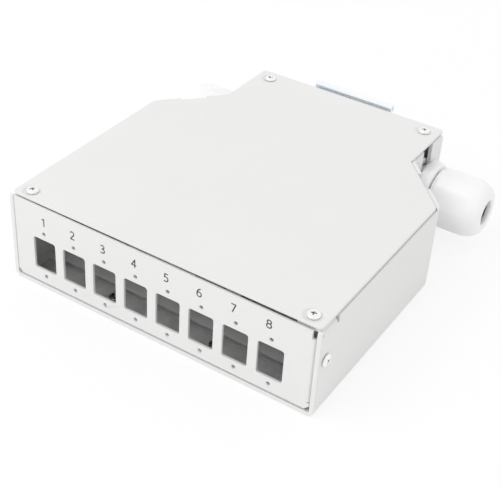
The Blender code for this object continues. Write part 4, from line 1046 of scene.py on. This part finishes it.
def in_mm(points):
    """Points given in millimetres."""
    return [(x * MM, radius * MM) for x, radius in points]


def hexagon_form(flats, turn, from_radius, thread_end=None):
    """A reach function: a hexagon outside a radius, and a round thread inside the wall."""
    def reach(x, radius, angle):
        if radius >= from_radius:
            return soft_least(radius, hexagon_reach(flats, angle + turn), FLAT_BLEND)
        if thread_end is not None and x < thread_end and radius > GLAND_THREAD_RADIUS - 0.05 * MM:
            phase = (x / GLAND_THREAD_PITCH - angle / (2 * math.pi)) % 1.0
            return radius - GLAND_THREAD_DEPTH * abs(2 * phase - 1) ** 0.8
        return radius
    return reach


def gland_cap():
    """The domed cap nut."""
    outer = [(5.9, 8.7), (5.9, 10.2), (7.1, 10.2), (7.1, 10.95), (7.6, 11.3), (18.6, 11.3)]
    for ring in range(1, DOME_RINGS):
        angle = math.pi / 2 * ring / DOME_RINGS
        outer.append((18.6 + 7.9 * math.sin(angle), 6.5 + 4.8 * math.cos(angle)))
    outer += [(26.5, 6.5), (26.5, 5.35), (25.9, 4.8), (23.5, 4.8), (23.5, 7.6), (20.1, 7.6), (15.8, 8.7)]
    profile = eased(in_mm(outer), MOULD_RADIUS, MOULD_STEPS)
    return lathe("gland_cap", profile, GLAND_STEPS, hexagon_form(CAP_FLATS, 0.0, CAP_FLATS_FROM), closed=True)


def gland_body():
    """The threaded body with its hexagonal collar and its claws."""
    start = [(-8.0, 6.0), (-8.0, 8.7)]
    length = 8.6
    rows = round(length * MM / GLAND_THREAD_PITCH * GLAND_THREAD_RINGS)
    thread = [(-7.4 + length * row / rows, 9.3) for row in range(rows + 1)]
    collar = [(1.2, 10.7), (0.3, 10.7), (0.3, 11.2), (1.2, 12.2), (4.3, 12.2), (5.3, 11.3), (5.3, 8.4)]
    nose = [(15.8, 8.4), (19.8, 7.3), (19.8, 6.6), (15.8, 6.0)]
    profile = eased(in_mm(start), NUT_RADIUS, MOULD_STEPS, False) + in_mm(thread)
    profile += eased(in_mm(collar + nose), MOULD_RADIUS, MOULD_STEPS, False)
    form = hexagon_form(COLLAR_FLATS, 0.0, COLLAR_FLATS_FROM, THREAD_END)
    piece = lathe("gland_body", profile, GLAND_STEPS, form, closed=True)
    slots = []
    for quarter in range(2):
        shape = bmesh.new()
        bmesh.ops.create_cube(shape, size=1.0)
        size = Matrix.Diagonal((*CLAW_SLOT_SIZE, 1.0))
        turn = Matrix.Rotation(quarter * math.pi / 2 + math.pi / 4, 4, "X")
        place = Matrix.Translation((CLAW_SLOT_X, 0.0, 0.0))
        bmesh.ops.transform(shape, matrix=turn @ place @ size, verts=shape.verts[:])
        slots.append(new_object("claw_slot", shape))
    carve(piece, slots)
    return piece


def gland_seal():
    """The rubber insert, with ribs in its bore."""
    bore = [(24.7 - 14.9 * step / SEAL_RIBS, 3.7 if step % 2 else 3.25) for step in range(SEAL_RIBS + 1)]
    outer = [(9.8, 5.7), (20.1, 5.7), (20.1, 7.0), (23.2, 7.0), (23.2, 4.6), (24.7, 4.6)]
    profile = eased(in_mm(bore + outer), MOULD_RADIUS, MOULD_STEPS)
    return lathe("gland_seal", profile, GLAND_STEPS, closed=True)


def gland_gasket():
    """The flat ring in the collar's recess."""
    points = [(0.3, 9.62), (0.3, 10.4), (0.9, 10.4), (0.9, 9.62)]
    return lathe("gland_gasket", eased(in_mm(points), GASKET_RADIUS, MOULD_STEPS), GLAND_STEPS, closed=True)


def gland_lock_nut():
    """The hexagonal nut inside the wall, with a corner up."""
    points = [(-6.8, 12.3), (-6.0, 13.5), (-2.6, 13.5), (-1.8, 12.3), (-1.8, 9.9), (-2.2, 9.6), (-6.4, 9.6),
              (-6.8, 9.9)]
    return lathe("gland_lock_nut", eased(in_mm(points), NUT_RADIUS, MOULD_STEPS), GLAND_STEPS,
                 hexagon_form(LOCK_NUT_FLATS, math.pi / 6, LOCK_NUT_FLATS_FROM), closed=True)


GLAND_PIECES = (
    ("gland_body", gland_body, "white_polyamide", "housing"),
    ("gland_cap_nut", gland_cap, "white_polyamide", "cap_nut_"),
    ("gland_lock_nut", gland_lock_nut, "white_polyamide", "housing"),
    ("gland_seal", gland_seal, "black_rubber", "housing"),
    ("gland_gasket", gland_gasket, "black_rubber", "housing"),
)


class FIBREBOX_OT_glands(bpy.types.Operator):
    """Build both cable glands"""

    bl_idname = "fibrebox.glands"
    bl_label = "Cable glands"

    def execute(self, context):
        for node, build, slot, body in GLAND_PIECES:
            pattern = build()
            soften(pattern, GLAND_EDGE_ANGLE)
            pattern.data.materials.clear()
            pattern.data.materials.append(finish(slot))
            for side, sign in (("left", -1), ("right", 1)):
                name = node + "_" + side
                low, high = (Vector(corner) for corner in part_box("gland_cap_nut_" + side))
                middle = (low + high) / 2
                piece = bpy.data.objects.new(name + "_moulded", pattern.data.copy())
                bpy.context.scene.collection.objects.link(piece)
                turn = Matrix.Rotation(math.pi if sign < 0 else 0.0, 4, "Z")
                piece.matrix_world = Matrix.Translation((sign * WALL_FACE_X, middle.y, middle.z)) @ turn
                mount(piece, slot, body + side if body.endswith("_") else body, name)
            bpy.data.objects.remove(pattern, do_unlink=True)
        return {"FINISHED"}


# Rail clip

def spring_coil():
    """The latch spring: a wound wire with closed ends."""
    low, high = (Vector(corner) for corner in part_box("latch_spring"))
    wire = SPRING_WIRE / 2
    centre = (low + high) / 2
    radius = (high.x - low.x) / 2 - wire
    bottom = low.z + wire
    rise = high.z - low.z - 2 * wire
    steps = SPRING_TURNS * SPRING_STEPS
    points = []
    for step in range(steps + 1):
        share = step / steps
        angle = 2 * math.pi * SPRING_TURNS * share
        closed_share = SPRING_CLOSED / SPRING_TURNS
        climb = min(1.0, max(0.0, (share - closed_share) / (1 - 2 * closed_share)))
        flat = SPRING_WIRE * min(share, closed_share) / closed_share
        flat_top = SPRING_WIRE * max(0.0, share - 1 + closed_share) / closed_share
        z = bottom + flat + flat_top + (rise - 2 * SPRING_WIRE) * climb
        points.append(Vector((centre.x + radius * math.cos(angle), centre.y + radius * math.sin(angle), z)))
    shape = bmesh.new()
    rings = []
    for index, point in enumerate(points):
        ahead = points[min(index + 1, steps)] - points[max(index - 1, 0)]
        out = Vector((point.x - centre.x, point.y - centre.y, 0.0)).normalized()
        up = ahead.cross(out).normalized()
        rings.append([shape.verts.new(point + (out * math.cos(turn) + up * math.sin(turn)) * wire)
                      for turn in (2 * math.pi * side / WIRE_SIDES for side in range(WIRE_SIDES))])
    for first, second in zip(rings, rings[1:]):
        for side in range(WIRE_SIDES):
            after = (side + 1) % WIRE_SIDES
            shape.faces.new((first[side], first[after], second[after], second[side]))
    shape.faces.new(rings[0])
    shape.faces.new(rings[-1])
    return new_object("latch_coil", shape)


class FIBREBOX_OT_rail_clip(bpy.types.Operator):
    """Finish the rail clip and its latch, and wind the latch spring"""

    bl_idname = "fibrebox.rail_clip"
    bl_label = "Rail clip"

    def execute(self, context):
        for name in ("din_clip_plate", "din_latch"):
            refine_node(name, "zinc_steel", CLIP_EDGE_RADIUS)
        coil = spring_coil()
        soften(coil, COIL_EDGE_ANGLE)
        mount(coil, "spring_steel", "housing", "latch_spring")
        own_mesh(coil)
        return {"FINISHED"}


# Stage

def add_area_lamp(name, place, aim, size, power):
    """A square lamp that looks at a point."""
    data = bpy.data.lights.new(name, "AREA")
    data.shape = "SQUARE"
    data.size = size
    data.energy = power
    lamp = bpy.data.objects.new(name, data)
    bpy.context.scene.collection.objects.link(lamp)
    lamp.location = place
    lamp.rotation_mode = "QUATERNION"
    lamp.rotation_quaternion = (Vector(aim) - Vector(place)).to_track_quat("-Z", "Y")
    return lamp


def seen_directly(tree):
    """1 for rays from the camera and for mirrored or refracted ones."""
    path = tree.nodes.new("ShaderNodeLightPath")
    value = calculate(tree, "MAXIMUM", path.outputs["Is Camera Ray"], path.outputs["Is Glossy Ray"])
    return calculate(tree, "MAXIMUM", value, path.outputs["Is Transmission Ray"])


def make_world(strength):
    """A white room: white to the eye and in reflections, softer as a light."""
    world = bpy.data.worlds.new("white_room")
    bpy.context.scene.world = world
    world.use_nodes = True
    tree = world.node_tree
    tree.nodes.clear()
    output = tree.nodes.new("ShaderNodeOutputWorld")
    mix = tree.nodes.new("ShaderNodeMixShader")
    for index, value in ((1, strength), (2, 1.0)):
        light = tree.nodes.new("ShaderNodeBackground")
        light.inputs["Color"].default_value = (1.0, 1.0, 1.0, 1.0)
        light.inputs["Strength"].default_value = value
        tree.links.new(light.outputs["Background"], mix.inputs[index])
    tree.links.new(seen_directly(tree), mix.inputs["Fac"])
    tree.links.new(mix.outputs["Shader"], output.inputs["Surface"])


def make_floor():
    """A wide white floor that keeps the box's shadow."""
    shape = bmesh.new()
    bmesh.ops.create_circle(shape, cap_ends=True, segments=FLOOR_STEPS, radius=FLOOR_RADIUS)
    floor = new_object("floor", shape)
    floor.location = (0.0, 0.0, -FLOOR_GAP)
    material, tree, shader = new_material("white_floor")
    grain = noise(tree, object_coordinates(tree), 90.0, 3.0)
    base = mixed_colour(tree, remap(tree, grain, 0.0, 1.0), (0.955, 0.955, 0.955), (0.965, 0.965, 0.965))
    tree.links.new(base, shader.inputs["Base Color"])
    shader.inputs["Roughness"].default_value = 0.9
    shader.inputs["Specular IOR Level"].default_value = 0.1
    glow = tree.nodes.new("ShaderNodeEmission")
    glow.inputs["Color"].default_value = (1.0, 1.0, 1.0, 1.0)
    glow.inputs["Strength"].default_value = 1.0
    mix = tree.nodes.new("ShaderNodeMixShader")
    tree.links.new(calculate(tree, "MULTIPLY", seen_directly(tree), FLOOR_GLOW), mix.inputs["Fac"])
    tree.links.new(shader.outputs["BSDF"], mix.inputs[1])
    tree.links.new(glow.outputs["Emission"], mix.inputs[2])
    output = next(node for node in tree.nodes if node.type == "OUTPUT_MATERIAL")
    tree.links.new(mix.outputs["Shader"], output.inputs["Surface"])
    floor.data.materials.append(material)


def make_camera():
    """The camera at the picture's angle."""
    data = bpy.data.cameras.new("picture_camera")
    camera = bpy.data.objects.new("picture_camera", data)
    bpy.context.scene.collection.objects.link(camera)
    bpy.context.scene.camera = camera
    azimuth = math.radians(CAMERA_AZIMUTH)
    elevation = math.radians(CAMERA_ELEVATION)
    back = Vector((math.sin(azimuth) * math.cos(elevation), -math.cos(azimuth) * math.cos(elevation),
                   math.sin(elevation)))
    turn = (-back).to_track_quat("-Z", "Y").to_matrix()
    roll = Matrix.Rotation(math.radians(CAMERA_ROLL), 3, "Z")
    place = Vector(CAMERA_TARGET) + back * CAMERA_DISTANCE
    camera.matrix_world = Matrix.Translation(place) @ (turn @ roll).to_4x4()
    data.lens = FOCAL_PIXELS / PICTURE_SIDE * data.sensor_width
    middle = PICTURE_SIDE / 2
    data.shift_x = (middle - OPTICAL_CENTRE[0]) / PICTURE_SIDE
    data.shift_y = (OPTICAL_CENTRE[1] - middle) / PICTURE_SIDE
    data.clip_start = CAMERA_NEAR
    data.clip_end = CAMERA_FAR


class FIBREBOX_OT_stage(bpy.types.Operator):
    """Set up the floor, the lamps, the white room and the camera"""

    bl_idname = "fibrebox.stage"
    bl_label = "Stage"

    def execute(self, context):
        context.scene.view_settings.view_transform = "Standard"
        make_world(settings().light_strength)
        make_floor()
        add_area_lamp("key_lamp", KEY_PLACE, KEY_AIM, KEY_SIZE, KEY_POWER)
        make_camera()
        return {"FINISHED"}


class FIBREBOX_PT_panel(bpy.types.Panel):
    """Sizes, colours and pieces of the fibre box"""

    bl_idname = "FIBREBOX_PT_panel"
    bl_label = "Fibre Box"
    bl_space_type = "VIEW_3D"
    bl_region_type = "UI"
    bl_category = "Fibre Box"

    def draw(self, context):
        layout = self.layout
        values = settings()
        for name in FibreBoxSettings.__annotations__:
            layout.prop(values, name)
        for step in STEPS:
            layout.operator(step.bl_idname)


STEPS = (FIBREBOX_OT_cover, FIBREBOX_OT_front_panel, FIBREBOX_OT_numbers, FIBREBOX_OT_housing,
         FIBREBOX_OT_screws, FIBREBOX_OT_glands, FIBREBOX_OT_rail_clip, FIBREBOX_OT_stage)
CLASSES = (FibreBoxSettings, *STEPS, FIBREBOX_PT_panel)


def register():
    """Make the settings, operators and panel known."""
    for item in CLASSES:
        bpy.utils.register_class(item)
    bpy.types.Scene.fibre_box = bpy.props.PointerProperty(type=FibreBoxSettings)


def unregister():
    """Take them away again."""
    del bpy.types.Scene.fibre_box
    for item in reversed(CLASSES):
        bpy.utils.unregister_class(item)


def main():
    """Build every piece and the stage."""
    register()
    bpy.ops.fibrebox.cover()
    bpy.ops.fibrebox.front_panel()
    bpy.ops.fibrebox.numbers()
    bpy.ops.fibrebox.housing()
    bpy.ops.fibrebox.screws()
    bpy.ops.fibrebox.glands()
    bpy.ops.fibrebox.rail_clip()
    bpy.ops.fibrebox.stage()


if __name__ == "__main__":
    main()
